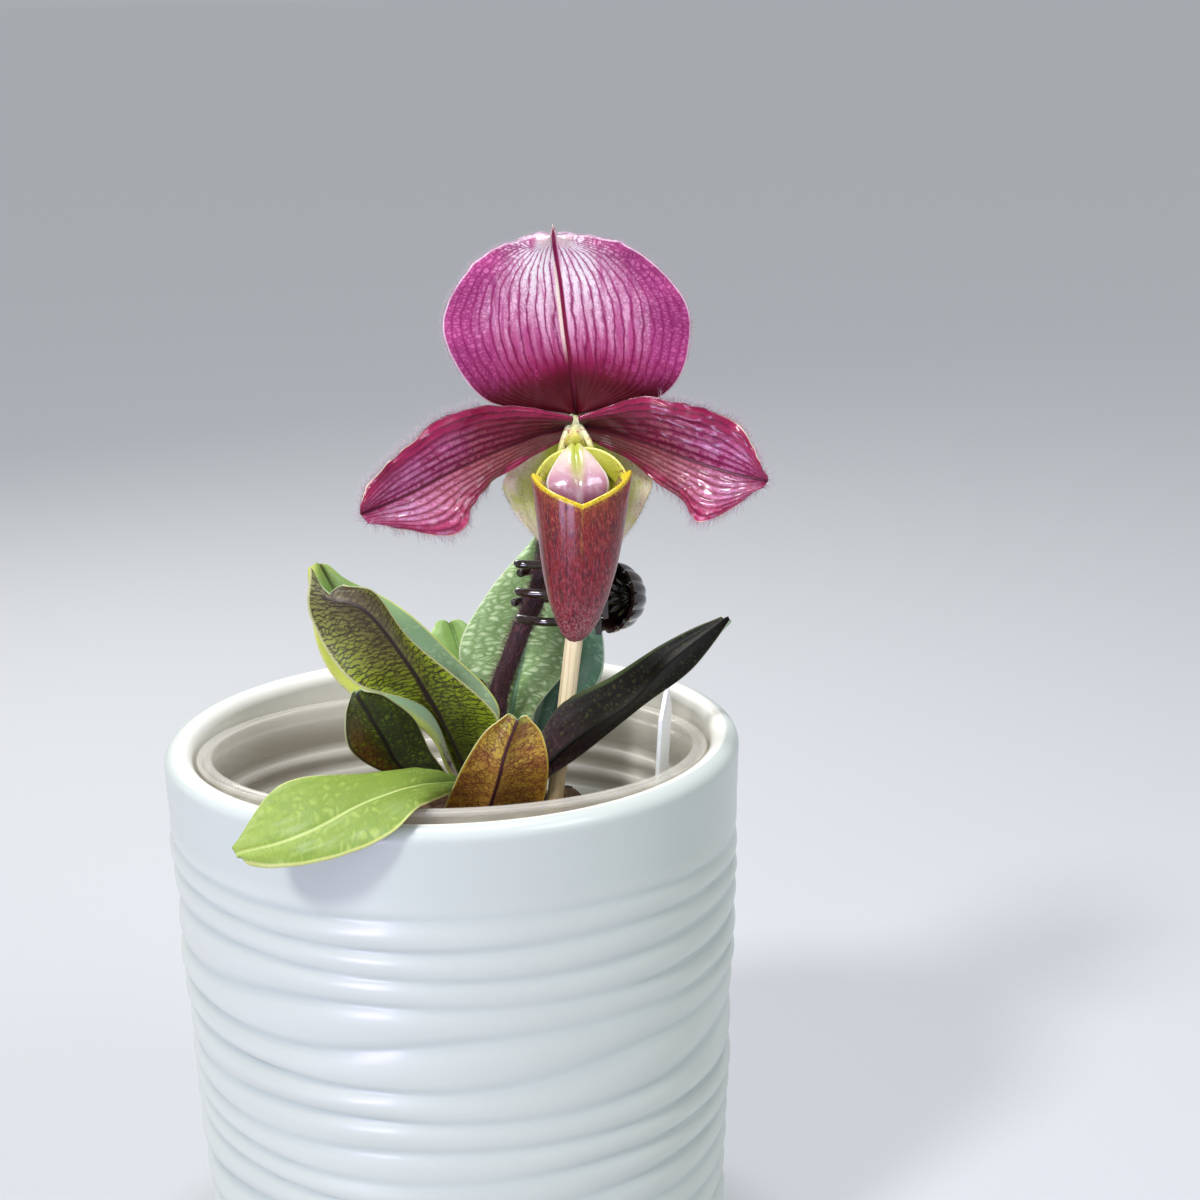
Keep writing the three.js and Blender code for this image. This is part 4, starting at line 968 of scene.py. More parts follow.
def fillBark():
    chance = random.Random(bark["seed"])
    noise.seed_set(bark["seed"])  # noise_vector would else take its offsets from the clock
    golden = 2.39996  # turn from one chip to the next, so that they spread evenly
    parts = [packedPlug()]
    for k in range(bark["chips"]):
        out = bark["spread"] * math.sqrt((k + 0.5) / bark["chips"])
        size = bark["smallest"] + 6 * chance.random()
        sides = (size * (1 + chance.random()), size, size * (0.35 + 0.3 * chance.random()))
        local, faces = chip(sides, chance)
        spin = Matrix.Rotation(chance.random() * 6.28, 3, "Z")
        for axis in ("Y", "X"):
            spin = spin @ Matrix.Rotation((chance.random() - 0.5) * bark["tumble"], 3, axis)
        height = bark["top"] + 1.5 - 2.5 * out / bark["spread"] + 1.8 * chance.random()
        placed = local @ np.array(spin).T + [out * math.cos(k * golden), out * math.sin(k * golden), height]
        reach = np.maximum(np.hypot(placed[:, 0], placed[:, 1]), 1e-6)
        room = (mouth(placed[:, 2]) - bark["gap"] - 0.2) / reach
        placed[:, :2] *= np.minimum(1, room)[:, None]
        shade = (chance.random() - 0.5) * 0.5
        parts.append({"points": leant(placed), "faces": faces,
                      "marks": {"sheet": local + [k * 11.0, 0, 0], "place": np.full_like(local, shade)}})
    makePiece("bark_chips", joined(parts), [pineBark()], stands=["bark_mix"])


fillBark()
print("bark filled in")


# crown and roots keep the frame's own solid: cork-like velamen, which is matt, pale and spongy
dressNode("crown_with_roots", clouded("root_velamen", {
    "clouds": {"Scale": 180.0, "Detail": 5.0},
    "stops": [(0.3, "#3a2c20"), (0.5, "#5c5838"), (0.75, "#9c8c6c")],
    "relief": {"Scale": 1600.0, "Detail": 2.0},
    "bump": {"Strength": 0.4, "Distance": 0.0002},
    "surface": {"Roughness": 0.8},
}))


# stake and label

stake = {
    "path": [[14.6, -9.8, 71], [21.6, -3, 116.7], [26.8, 2, 150.6], [29.6, 4.7, 168.5]],
    "radiusFoot": 1.6,
    "radiusTop": 2.1,
    "radiusPoint": 0.3,
    "pale": "#fae8c0",
    "line": "#d4b27c",
    "damp": "#8a6f48",
    "fibre": 0.35,
    "fibreLength": 25,
}


def splitBamboo():
    # split and sanded bamboo: dry, matt, with long darker fibre lines and a damp foot
    material, add = newMaterial("split_bamboo")
    placeMark = add("Attribute", attribute_name="place")
    sheetMark = add("Attribute", attribute_name="sheet")
    place = add("SeparateXYZ", {0: (placeMark, "Vector")})
    scale = (1 / stake["fibre"], 1 / stake["fibreLength"], 1 / stake["fibre"])
    stretched = add("Mapping", {"Vector": (sheetMark, "Vector"), "Scale": scale})
    fibre = add("TexNoise", {"Vector": stretched, "Scale": 1.0, "Detail": 4.0})
    lines = add("MapRange", {"Value": fibre, "From Min": 0.48, "From Max": 0.68})
    colour = add("Mix", {0: lines, 6: stake["pale"], 7: stake["line"]})
    low = add("MapRange", {"Value": (place, "Y"), "From Min": 0.5, "From Max": 0.3})
    colour = add("Mix", {0: low, 6: colour, 7: stake["damp"]})
    bump = add("Bump", {"Height": fibre, "Strength": 0.6, "Distance": 0.0003})
    return finishMaterial(material, {"Base Color": colour, "Normal": bump, "Roughness": 0.6})


def stakeRadius(f, turn):
    foot, top = stake["radiusFoot"], stake["radiusTop"]
    plain = stake["radiusPoint"] if f < 0.02 else foot + (top - foot) * f
    return plain * (1 - 0.02 * abs(math.sin(4 * turn + 0.6)) - 0.015 * math.sin(11 * turn))


bamboo = makePiece("bamboo_stake", rod(stake["path"], stakeRadius, 140, 48), [splitBamboo()],
                   stands=["stake"])
roundEdges(bamboo, "sanded_end", 0.2, 60, segments=2, level=False)

# white polystyrene label: smooth, a little see-through at the edge, faintly clouded
dressNode("plant_label", clouded("moulded_polystyrene", {
    "clouds": {"Scale": 120.0, "Detail": 4.0},
    "stops": [(0.3, "#dfe2e2"), (0.6, "#f0f2f2")],
    "bump": {"Strength": 0.08, "Distance": 0.0004},
    "surface": {"Roughness": 0.35, "IOR": 1.59, "Subsurface Weight": 0.2, "Subsurface Scale": 0.002},
}), bevel=0.2)
print("stake and label in place")

# leaves: margins and midribs run from the crown to the notched tip

leafShapes = {
    "leaf_front_small": {
        "swell": 1.2, "wave": 0.2, "seed": 1, "ribWidth": 0.9,
        "left": [[11, -9, 114], [12, -14, 118], [17, -25, 121.5], [19, -33, 133], [18, -36, 141.5],
                 [15, -36, 146]],
        "mid": [[8, -9, 113.5], [8, -14, 118], [6.5, -26, 122], [8.5, -34, 131.5], [10.5, -36, 139],
                [13, -37, 145.5]],
        "right": [[5, -9, 114], [4, -14, 118], [-2.5, -25, 121], [0.5, -33, 132.5], [6, -36, 142.5],
                  [11, -36, 146.5]],
    },
    "leaf_front_left": {
        "swell": 0.8, "wave": 0.4, "seed": 2,
        "left": [[7, -9.5, 117], [2.5, -15, 123.5], [-6, -54.5, 134.8], [-13, -64, 132.5],
                 [-28.5, -68, 128.5], [-39.5, -67, 129]],
        "mid": [[5, -8, 116.5], [1, -13, 123.5], [-7, -42, 134], [-17.5, -52, 134.5], [-29.5, -62, 132],
                [-41.5, -65, 130]],
        "right": [[3, -7, 117], [-0.5, -11, 125], [-7.5, -29, 133], [-18.5, -39, 136.5],
                  [-34.5, -49, 137.5], [-42.5, -63, 130.5]],
    },
    "leaf_left_small": {
        "swell": 0.7, "wave": 0.2, "seed": 3, "ribWidth": 0.8,
        "left": [[5, -5.5, 116], [-1.5, -7.5, 124.5], [-5, -10, 131], [-8, -14, 139.5], [-13.5, -19, 146],
                 [-18, -22, 148.5]],
        "mid": [[3, -6.5, 115.5], [-3, -9, 124], [-11, -16, 129.5], [-14.5, -20, 137.5], [-17.5, -22, 144],
                [-19.5, -22, 148]],
        "right": [[1.5, -8, 116], [-4, -10.5, 123.5], [-14.5, -15, 128], [-21.5, -18, 134.5],
                  [-22, -20, 142.5], [-20.5, -21, 147.5]],
    },
    "leaf_left_large": {
        "swell": 1.6, "wave": 0.4, "seed": 4,
        "left": [[8, -4.5, 117], [5.5, -5, 125], [9.5, -7, 137], [-7.8, -10.6, 155.5], [-14.8, -12, 166.3],
                 [-21.2, -14, 168.9]],
        "mid": [[5.5, -5.5, 116.5], [2, -7.5, 126.5], [-3, -13, 139.5], [-9.5, -18, 154], [-17, -20, 165],
                [-25.2, -16.5, 166.8]],
        "right": [[3, -6, 117], [-0.5, -7, 127], [-5.5, -15, 142], [-20.5, -14, 148], [-28.5, -12, 161.5],
                  [-27.9, -14, 172.9]],
    },
    "leaf_left_behind": {
        "swell": 1.4, "wave": 0.4, "seed": 5,
        "left": [[3, -3.5, 116], [-1, -4.5, 123.5], [-6, -3, 133], [-21.5, 2, 140.5], [-28.5, 6, 150.5],
                 [-30, 13, 166]],
        "mid": [[5.5, -2.5, 115.5], [2, -3, 123.5], [-2.5, 4, 131.5], [-10.5, 10, 142.5],
                [-20.5, 14, 153.5], [-28, 15, 166.5]],
        "right": [[8, -2, 116], [6, -1, 123.5], [10, 4, 135.5], [-0.5, 8, 148], [-12.4, 12.6, 158],
                  [-25.2, 16, 164]],
    },
    "leaf_right": {
        "swell": 1, "wave": 0.3, "seed": 6,
        "left": [[15, -6.5, 113.5], [18.5, -7, 121], [28, -6, 127.5], [41, -3, 136.5], [52, 1, 143],
                 [61.5, 6, 152.5]],
        "mid": [[13.5, -5.5, 115], [17.5, -8, 123], [26.5, -9, 132], [37.5, -7, 138], [48.5, -1, 146.5],
                [61, 6, 153]],
        "right": [[12, -4, 117], [15.5, -5, 125], [23, -2, 137], [34.5, 0, 142.5], [46.5, 4, 148.5],
                  [59.5, 8, 153]],
    },
    "leaf_back_tall": {
        "swell": 1.6, "wave": 0.4, "seed": 7,
        "left": [[8.5, -2, 113], [9, 3, 119], [6.5, 9, 131], [2, 17, 144.5], [9, 26, 155.5], [20, 34, 166]],
        "mid": [[11, -1.5, 112.5], [12, 3.5, 118.5], [13, 12, 131], [16.5, 22, 143], [19, 30, 155],
                [21.5, 35, 167]],
        "right": [[13.5, -2, 113], [14.5, 3, 119], [18, 10, 131.5], [27, 18, 141.5], [29, 27, 154],
                  [23.5, 34, 166]],
    },
    "leaf_back_right": {
        "swell": 1, "wave": 0.3, "seed": 8,
        "left": [[12.5, -1.5, 112], [15, 3, 118], [18, 16, 128.5], [21.5, 27, 138], [25, 34, 146],
                 [30, 37, 149.5]],
        "mid": [[14.5, -2, 111.5], [17.5, 3, 117.5], [22.5, 15, 128.5], [27.5, 26, 138], [30.5, 33, 145.5],
                [31.5, 36, 150.5]],
        "right": [[16.5, -3.5, 112], [19.5, 1.5, 118.5], [26.5, 13, 128.5], [34, 23, 136], [35, 30, 144],
                  [33, 36, 149.5]],
    },
    "leaf_back_small": {
        "swell": 1, "wave": 0.3, "seed": 9,
        "left": [[4, -2, 113], [3.5, 1, 118.5], [2, 10, 127.5], [-2.5, 21, 134.5], [-5, 29, 142.5],
                 [-3, 34, 147]],
        "mid": [[6, -1.5, 112.5], [5.5, 2, 118], [5.5, 12, 126.5], [3.5, 24, 136], [1.5, 32, 143],
                [0, 35, 146.5]],
        "right": [[8, -1.5, 113], [7.5, 3, 118], [9.5, 13, 126], [10, 24, 135.5], [9, 31, 143],
                  [3, 35, 146.5]],
    },
}

# leathery leaves under a waxy cuticle, so a broad soft shine; Top skins face the light, and Under skins are
# the lower faces, some of them flushed purple
leafSkins = {
    "limeTop": {
        # darker towards the foot: painted shade where the leaf runs down into the crown
        "along": [(0.0, "#3e4a1a"), (0.18, "#5c7026"), (0.45, "#768e30"), (0.8, "#829a36"),
                  (1.0, "#8ea244")],
        "layers": [
            ("#98ac50", 0.75, ("cells", 2.8, 1.8, 0.1, 0.4), ("patches", 6, 5, 0.35, 0.6)),
            ("#6f8a34", 0.5, ("cells", 2.8, 1.8, 0.12, 0.02), ("patches", 4, 4, 0.4, 0.6)),
            ("#b4c274", 1, ("reach", 0.6, 0.2)),
            ("#c0c878", 1, ("fromEdge", 0.6, 0.2)),
        ],
        "sugar": 0.07, "coat": 0.05, "glow": 0.2,
    },
    "oliveUnder": {
        "along": [(0.0, "#2c2a0a"), (0.15, "#525e0c"), (0.4, "#7e8e16"), (0.6, "#7c7c30"), (0.8, "#706444"),
                  (1.0, "#7c7c4e")],
        "layers": [
            ([(0.0, "#3a3c10"), (0.3, "#8ea012"), (0.5, "#9cac1a"), (0.75, "#84863c"), (1.0, "#94965e")], 1,
             ("side", 0.3, 0.95)),
            ("#5a4a34", 0.7, ("across", 0.5, 0.1), ("along", 0.42, 0.62), ("patches", 5, 7, 0.3, 0.6)),
            ("#2a200e", 0.9, ("bars", 1.1, 2.2, 0.2, 0.06), ("patches", 2.6, 0.8, 0.32, 0.46)),
            ("#33280f", 0.75, ("cells", 2.6, 1.15, 0.12, 0.03), ("patches", 3, 2, 0.3, 0.5)),
            ("#30241c", 0.7, ("patches", 1.1, 0.45, 0.5, 0.62), ("side", 0.85, 0.4)),
            ("#2b1d1c", 1, ("reach", 1.0, 0.4)),
            ("#c2c48a", 1, ("fromEdge", 0.8, 0.3)),
        ],
        "coat": 0.08,
    },
    "networkUnder": {
        "along": [(0.0, "#20230a"), (0.25, "#2a330a"), (0.6, "#2f3b0a"), (1.0, "#4a5416")],
        "layers": [
            ("#7a4c1e", 0.85, ("across", 0.0, 0.7), ("along", 0.8, 0.3)),
            ("#6c800f", 0.7, ("cells", 1.25, 1.1, 0.08, 0.3), ("patches", 3, 3, 0.34, 0.6)),
            ("#16190a", 0.7, ("cells", 1.5, 1.3, 0.08, 0.02)),
            ("#1c1610", 1, ("reach", 0.8, 0.3)),
            ("#2c2c14", 1, ("fromEdge", 0.9, 0.5)),
            ("#a5a76c", 1, ("fromEdge", 0.35, 0.1)),
        ],
        "roughness": 0.45, "coat": 0.12,
    },
    "stripTop": {
        "along": [(0.0, "#4a3840"), (0.14, "#7d6a72"), (0.25, "#8d857c"), (0.34, "#8aa080"),
                  (0.6, "#7c9c70"), (0.85, "#86a458"), (1.0, "#94ad52")],
        "layers": [
            ("#b4bc50", 1, ("across", -0.55, -0.85), ("along", 0.2, 0.4)),
            ("#a8c098", 0.6, ("cells", 2.0, 1.2, 0.08, 0.3), ("patches", 5, 4, 0.4, 0.65),
             ("across", -0.35, -0.1), ("along", 0.9, 0.7)),
            ("#5c3450", 1, ("patches", 0.6, 1.2, 0.5, 0.6), ("along", 0.36, 0.16)),
            ("#7f8f58", 1, ("reach", 0.8, 0.3)),
            ("#c3c86c", 1, ("fromEdge", 0.6, 0.2)),
        ],
        "sugar": 0.08, "roughness": 0.48, "coat": 0.1, "glow": 0.2,
    },
    "plainTop": {
        "along": [(0.0, "#52682e"), (0.4, "#7b9c4c"), (0.8, "#88aa5a"), (1.0, "#94b468")],
        "layers": [
            ("#97b56e", 0.7, ("cells", 2.4, 1.6, 0.06, 0.3), ("patches", 7, 5, 0.4, 0.75)),
            ("#6b8c44", 1, ("reach", 0.7, 0.2)),
            ("#b4c78a", 1, ("fromEdge", 0.6, 0.2)),
        ],
        "sugar": 0.08, "coat": 0.05, "glow": 0.2,
    },
    "tessellatedTop": {
        "along": [(0.0, "#5c7444"), (0.3, "#7c965e"), (0.65, "#8ca86c"), (1.0, "#98b078")],
        "layers": [
            ("#9cb884", 1, ("patches", 4, 6, 0.45, 0.7)),
            ("#d0dfb8", 0.75, ("cells", 2.8, 1.3, 0.1, 0.32), ("patches", 2.6, 2.2, 0.3, 0.5)),
            ("#66855a", 0.4, ("cells", 2.8, 1.3, 0.1, 0.02)),
            ("#58785a", 1, ("reach", 0.8, 0.3)),
            ("#c2ceaa", 1, ("fromEdge", 0.5, 0.15)),
        ],
        "sugar": 0.08, "coat": 0.05,
    },
    "blueTop": {
        "along": [(0.0, "#2c4636"), (0.4, "#3b5f48"), (0.8, "#456b52"), (1.0, "#537860")],
        "layers": [
            ("#66886c", 1, ("cells", 2.1, 1.4, 0.08, 0.28), ("patches", 6, 5, 0.4, 0.65)),
            ("#335444", 1, ("reach", 0.8, 0.3)),
            ("#9db096", 1, ("fromEdge", 0.5, 0.15)),
        ],
        "coat": 0.05,
    },
    "purpleUnder": {
        "along": [(0.0, "#5c3a44"), (0.2, "#3c242c"), (0.42, "#18130f"), (0.75, "#12110b"),
                  (1.0, "#1c1c15")],
        "layers": [
            ("#3e3f1e", 0.8, ("cells", 1.5, 1.1, 0.1, 0.36), ("patches", 2.5, 2, 0.34, 0.54)),
            ("#100c0a", 0.8, ("patches", 0.8, 0.7, 0.52, 0.66)),
            ("#7a5a60", 0.6, ("patches", 1.4, 1.4, 0.5, 0.66), ("along", 0.36, 0.12)),
            ("#4c5c34", 1, ("across", 0.84, 0.94), ("along", 0.3, 0.5)),
            ("#0d0908", 1, ("reach", 1.0, 0.4)),
            ("#5c5a44", 1, ("fromEdge", 0.35, 0.1)),
        ],
        "shine": 0.25,
    },
    "amberUnder": {
        "along": [(0.0, "#bc8a2c"), (0.35, "#cc9a40"), (0.6, "#cca244"), (0.85, "#b4a640"),
                  (1.0, "#a4ae50")],
        "layers": [
            ([(0.0, "#c09428"), (0.5, "#cc9a34"), (0.85, "#b8a038"), (1.0, "#a8ac50")], 1,
             ("side", 0.6, 1.0)),
            ("#985f34", 0.7, ("patches", 6, 2.2, 0.42, 0.62)),
            ("#6a3224", 0.8, ("cells", 1.05, 0.8, 0.17, 0.04), ("patches", 2.4, 1.6, 0.3, 0.52)),
            ("#4a1e1a", 0.7, ("patches", 0.4, 0.35, 0.54, 0.62), ("patches", 5, 1.6, 0.36, 0.58)),
            ("#421a24", 1, ("reach", 0.6, 0.22)),
            ("#c4ae48", 1, ("fromEdge", 0.5, 0.15)),
        ],
        "grain": (0.4, 0.4), "roughness": 0.48, "coat": 0.1, "glow": 0.25,
    },
    "spottedUnder": {
        "along": [(0.0, "#6a5a50"), (0.3, "#7c8a58"), (0.7, "#869a62"), (1.0, "#93a56a")],
        "layers": [
            ("#57304a", 1, ("patches", 0.9, 0.8, 0.54, 0.64), ("along", 0.8, 0.1)),
            ("#6c7a4a", 1, ("reach", 1.0, 0.4)),
            ("#b5bd90", 1, ("fromEdge", 0.5, 0.15)),
        ],
        "coat": 0.08,
    },
}
# upper skin, lower skin and slot
leafFinish = {
    "leaf_front_small": ("tessellatedTop", "amberUnder", "leaf_amber"),
    "leaf_front_left": ("limeTop", "spottedUnder", "leaf_green"),
    "leaf_left_small": ("tessellatedTop", "networkUnder", "leaf_dark"),
    "leaf_left_large": ("tessellatedTop", "oliveUnder", "leaf_dark"),
    "leaf_left_behind": ("stripTop", "spottedUnder", "leaf_green"),
    "leaf_right": ("blueTop", "purpleUnder", "leaf_purple"),
    "leaf_back_tall": ("tessellatedTop", "spottedUnder", "leaf_grey"),
    "leaf_back_right": ("blueTop", "spottedUnder", "leaf_grey"),
    "leaf_back_small": ("plainTop", "spottedUnder", "leaf_green"),
}
leafSurface = {"furrow": 0.05, "furrowPitch": 2.6, "pucker": 0.22, "puckerScale": 0.16}


def leafRelief(place, sheet):
    # faint lengthwise furrows and a slightly puckered skin, both fading at the foot
    p = leafSurface
    furrows = p["furrow"] * np.cos(sheet[:, :, 0] * 2 * math.pi / p["furrowPitch"])
    furrows = furrows * smooth(0.0, 0.25, np.abs(place[:, :, 0]))
    spots = [Vector(point) * p["puckerScale"] for point in sheet.reshape(-1, 3)]
    pucker = np.array([noise.noise(spot) for spot in spots]).reshape(furrows.shape)
    return (furrows + p["pucker"] * pucker) * smooth(0.0, 0.12, place[:, :, 1])


leafTissue = {name: livingTissue("leaf_skin_" + name, look) for name, look in leafSkins.items()}
for node, (top, under, slot) in leafFinish.items():
    bladePiece(node, leafShapes[node], [leafTissue[top], leafTissue[under]], relief=leafRelief)
print("leaves grown")

# stem, its sheath, the ovary and its bract: dark, matt and downy

stem = {
    "path": [[9, -3, 112], [9.5, 2.5, 126], [10, 7, 136.2], [12.6, 7.5, 144], [16.6, 8, 153.6],
             [19, 8.5, 158], [21.4, 10, 166.6], [24, 17, 178], [25.5, 23, 186], [25.9, 24.1, 188.6]],
    "radius": 2,
    "flare": 1.1,  # at its foot
    "taper": 0.2,
    "down": {"count": 4200, "from": 0.06, "to": 0.99,
             "length": 1.25, "radius": 0.05, "spread": 0.35, "curl": 0.12},
}
ovary = {
    "path": [[25.9, 24.2, 188], [26.8, 22.5, 195], [27.8, 14, 200], [28.4, 6.2, 199.6]],
    "radius": 1.95,
    "swell": 0.7,
    "ribs": 6,
    "ribDepth": 0.16,
    "down": {"count": 1500, "from": 0.02, "to": 0.97,
             "length": 1.0, "radius": 0.035, "spread": 0.35, "curl": 0.12},
}
sheath = {
    "swell": -0.4, "seed": 11, "ribWidth": 0.6,
    "left": [[7.2, -1, 123], [7.2, 2.5, 131], [8, 4.1, 136.5], [7.5, 6.3, 140.3]],
    "mid": [[6.6, 1, 123], [5.6, 4.6, 131], [5.8, 6.8, 136.5], [6.4, 7.6, 141]],
    "right": [[7.4, 3, 123], [6.2, 7.4, 131], [7, 9.5, 136.5], [7, 8.9, 140.3]],
}
bract = {
    "swell": -0.6, "seed": 12,
    "left": [[29.3, 22.5, 187], [30.8, 21.5, 194], [32, 17, 200.5], [29.6, 12.6, 206.3]],
    "mid": [[26.2, 26.6, 186.5], [27, 26, 194], [28, 19.5, 204], [28.6, 12, 207.5]],
    "right": [[22.6, 23.5, 187], [23.2, 21.5, 194], [24.2, 17, 200.5], [27.4, 12.6, 206.3]],
}

stemSkins = {
    "stem_skin": {
        "along": [(0.0, "#4a3a30"), (0.12, "#40262c"), (0.6, "#3a1d26"), (1.0, "#4a2530")],
        "layers": [
            ("#6a3a44", 1, ("patches", 0.5, 3.5, 0.5, 0.7)),
            ("#241318", 0.8, ("patches", 0.7, 1.2, 0.52, 0.66)),
        ],
        "grain": (0.35, 1.4), "bump": 0.6, "roughness": 0.6, "glow": 0.05,
    },
    "ovary_skin": {
        "along": [(0.0, "#4a2a30"), (0.4, "#5c3a34"), (0.8, "#6c6a38"), (1.0, "#7d8444")],
        "layers": [
            ("#3a1c26", 0.8, ("patches", 0.6, 4, 0.48, 0.62)),
        ],
        "grain": (0.35, 1.2), "bump": 0.5, "roughness": 0.6,
    },
    "bract_skin": {
        "along": [(0.0, "#5b4a34"), (0.4, "#7c8648"), (0.8, "#8a9a55"), (1.0, "#93805a")],
        "layers": [
            ("#54303a", 1, ("patches", 0.7, 3.5, 0.5, 0.64)),
            ("#4a2732", 0.7, ("veins", 5, 0.5, 0.16, 0.04)),
        ],
        "grain": (0.35, 1.0), "bump": 0.4, "roughness": 0.55, "glow": 0.25,
    },
    "sheath_skin": {
        "along": [(0.0, "#4a3a26"), (0.6, "#3a241e"), (1.0, "#5c4630")],
        "layers": [
            ("#20140f", 1, ("patches", 0.4, 2.5, 0.5, 0.66)),
        ],
        "grain": (0.3, 1.0), "bump": 0.5, "roughness": 0.6,
    },
    "dark_plant_hair": {
        "along": [(0.0, "#54303c"), (1.0, "#54303c")],
        "layers": [
            ("#8a6470", 1, ("patches", 3, 3, 0.4, 0.7)),
        ],
        "glow": 0.2,
    },
}
stemTissue = {name: livingTissue(name, look) for name, look in stemSkins.items()}
darkDown = stemTissue["dark_plant_hair"]


def stemRadius(f, turn):
    return stem["radius"] * (stem["flare"] - stem["taper"] * f)


def lumpyStemRadius(f, turn):
    return stem["radius"] * (stem["flare"] - stem["taper"] * f + 0.03 * math.sin(3 * turn + 9 * f))


def ovaryRadius(f, turn):
    ribs = ovary["ribDepth"] * math.cos(ovary["ribs"] * turn)
    return ovary["radius"] + ovary["swell"] * math.sin(math.pi * f) + ribs


chance = random.Random(7)
stemPart = rod(stem["path"], lumpyStemRadius, 150, 32)
makePiece("flower_stem", stemPart, [stemTissue["stem_skin"]], stands=["scape"])
stemRoots = rodRoots(stem["path"], stemRadius, stem["down"], chance)
hairs("stem_down", stemRoots, stem["down"], darkDown, 8)
ovaryPart = rod(ovary["path"], ovaryRadius, 90, 48)
makePiece("ribbed_ovary", ovaryPart, [stemTissue["ovary_skin"]], stands=["ovary"])
ovaryRoots = rodRoots(ovary["path"], ovaryRadius, ovary["down"], chance)
hairs("ovary_down", ovaryRoots, ovary["down"], darkDown, 9)
sheathSkins = [stemTissue["sheath_skin"]] * 2
bladePiece("sheath", sheath, sheathSkins, thickness=0.7, keel=0.2, rows=48, columns=20)
bractSkins = [stemTissue["bract_skin"]] * 2
bladePiece("bract", bract, bractSkins, thickness=0.8, rows=60, columns=32)
print("stem, sheath, ovary and bract grown")

# flower: a hood above, two petals, a pale sepal behind the pouch, the column with its shield, and the pouch

flowerShapes = {
    "dorsal_sepal": {
        "swell": 1.6, "wave": 0.4, "waves": 4, "seed": 21, "ribWidth": 0.8, "frill": 0.22, "frills": 4,
        "points": [(1, 0.76, 0.02, 1.0), (-1, 0.62, 0.02, 0.5), (-1, 0.83, 0.015, 0.4)],
        "left": [[26.5, 2, 199.5], [9.5, 5, 203], [1.5, 8, 215.5], [4, 8.5, 226.5], [13.5, 6.5, 235],
                 [23.5, 2.5, 238]],
        "mid": [[28.5, 3, 199.5], [28, 6, 207.5], [27, 7.5, 217], [26, 7, 227.5], [25, 5, 234],
                [24.5, 2, 239.5]],
        "right": [[30.5, 2, 199.5], [47.5, 5, 203], [53.5, 8, 214], [51, 8.5, 224.5], [40, 6.5, 234.5],
                  [25.5, 2.5, 238]],
    },
    "petal_left": {
        "swell": 0.7, "wave": 0.3, "seed": 22, "frill": 0.9, "frills": 2, "blunt": 1,
        "left": [[26.4, -2, 195.8], [13.5, -3.5, 189.5], [6.5, -8, 183.5], [1.5, -12.5, 178.5],
                 [-14.8, -13.5, 180.6]],
        "mid": [[27, -1, 198.2], [14.5, -2, 194.5], [3, -5, 190.5], [-8, -9, 186], [-16.8, -12, 183.4]],
        "right": [[27.4, -2.8, 200.4], [13.5, -4.5, 203.5], [1.5, -7.5, 202], [-10, -11.5, 195],
                  [-17.2, -14, 186.3]],
    },
    "petal_right": {
        "swell": 0.7, "wave": 0.3, "seed": 23, "flip": -1, "frill": 0.8, "frills": 2, "blunt": 1,
        "left": [[28.6, -2.8, 200.4], [41.5, -4.5, 204], [53.5, -7.5, 202.5], [62, -11.5, 197.5],
                 [66.6, -14, 189.5]],
        "mid": [[29, -1, 198.2], [41.5, -2, 194.5], [51, -5, 191], [59.5, -9, 188.5], [66.6, -12, 187.2]],
        "right": [[29.6, -2, 195.8], [41, -3.5, 189.5], [48.5, -8, 183.5], [53, -12.5, 179],
                  [65, -13.5, 185.3]],
    },
    "synsepal": {
        "swell": -1, "wave": 0.2, "seed": 24, "ribWidth": 0.8,
        "left": [[31, 3.5, 197], [43.6, 2, 187.5], [42.2, 0, 180], [37, -2.5, 173], [29.5, -5, 165]],
        "mid": [[28.5, 4.5, 197], [28.5, 6, 185], [29, 4, 176.5], [29, 0, 169], [28.5, -4, 164.5]],
        "right": [[26, 3.5, 197], [13.4, 2, 187.5], [14.3, 0, 180.6], [20, -2.5, 173.4], [27.5, -5, 165]],
    },
    "staminode": {
        "swell": 0.6, "seed": 25, "ribWidth": 0.8,
        "left": [[29, -7.4, 194.6], [31.2, -9.6, 192.8], [33.8, -13, 189], [33.2, -14.6, 185.4],
                 [29.8, -15, 182.8]],
        "mid": [[27.5, -7.8, 194.8], [27.4, -11, 193], [27.5, -15, 189], [27.6, -16.2, 185.4],
                [27.5, -15.4, 183.2]],
        "right": [[26, -7.4, 194.6], [23.6, -9.6, 192.8], [21.1, -13, 189], [21.8, -14.6, 185.4],
                  [25.2, -15, 182.8]],
    },
}
column = {
    "path": [[28.2, 5.7, 198.6], [28, 1, 197.6], [27.5, -4, 196.2], [27.3, -6.6, 195]],
    "arms": [[[27.7, 1.5, 199], [26.5, -2.5, 197.6], [25.2, -5.6, 195.6], [24.3, -7, 193.2]],
             [[27.9, 1.5, 199], [29, -2.5, 197.6], [30.3, -5.6, 195.6], [31.2, -7, 193.2]]],
}

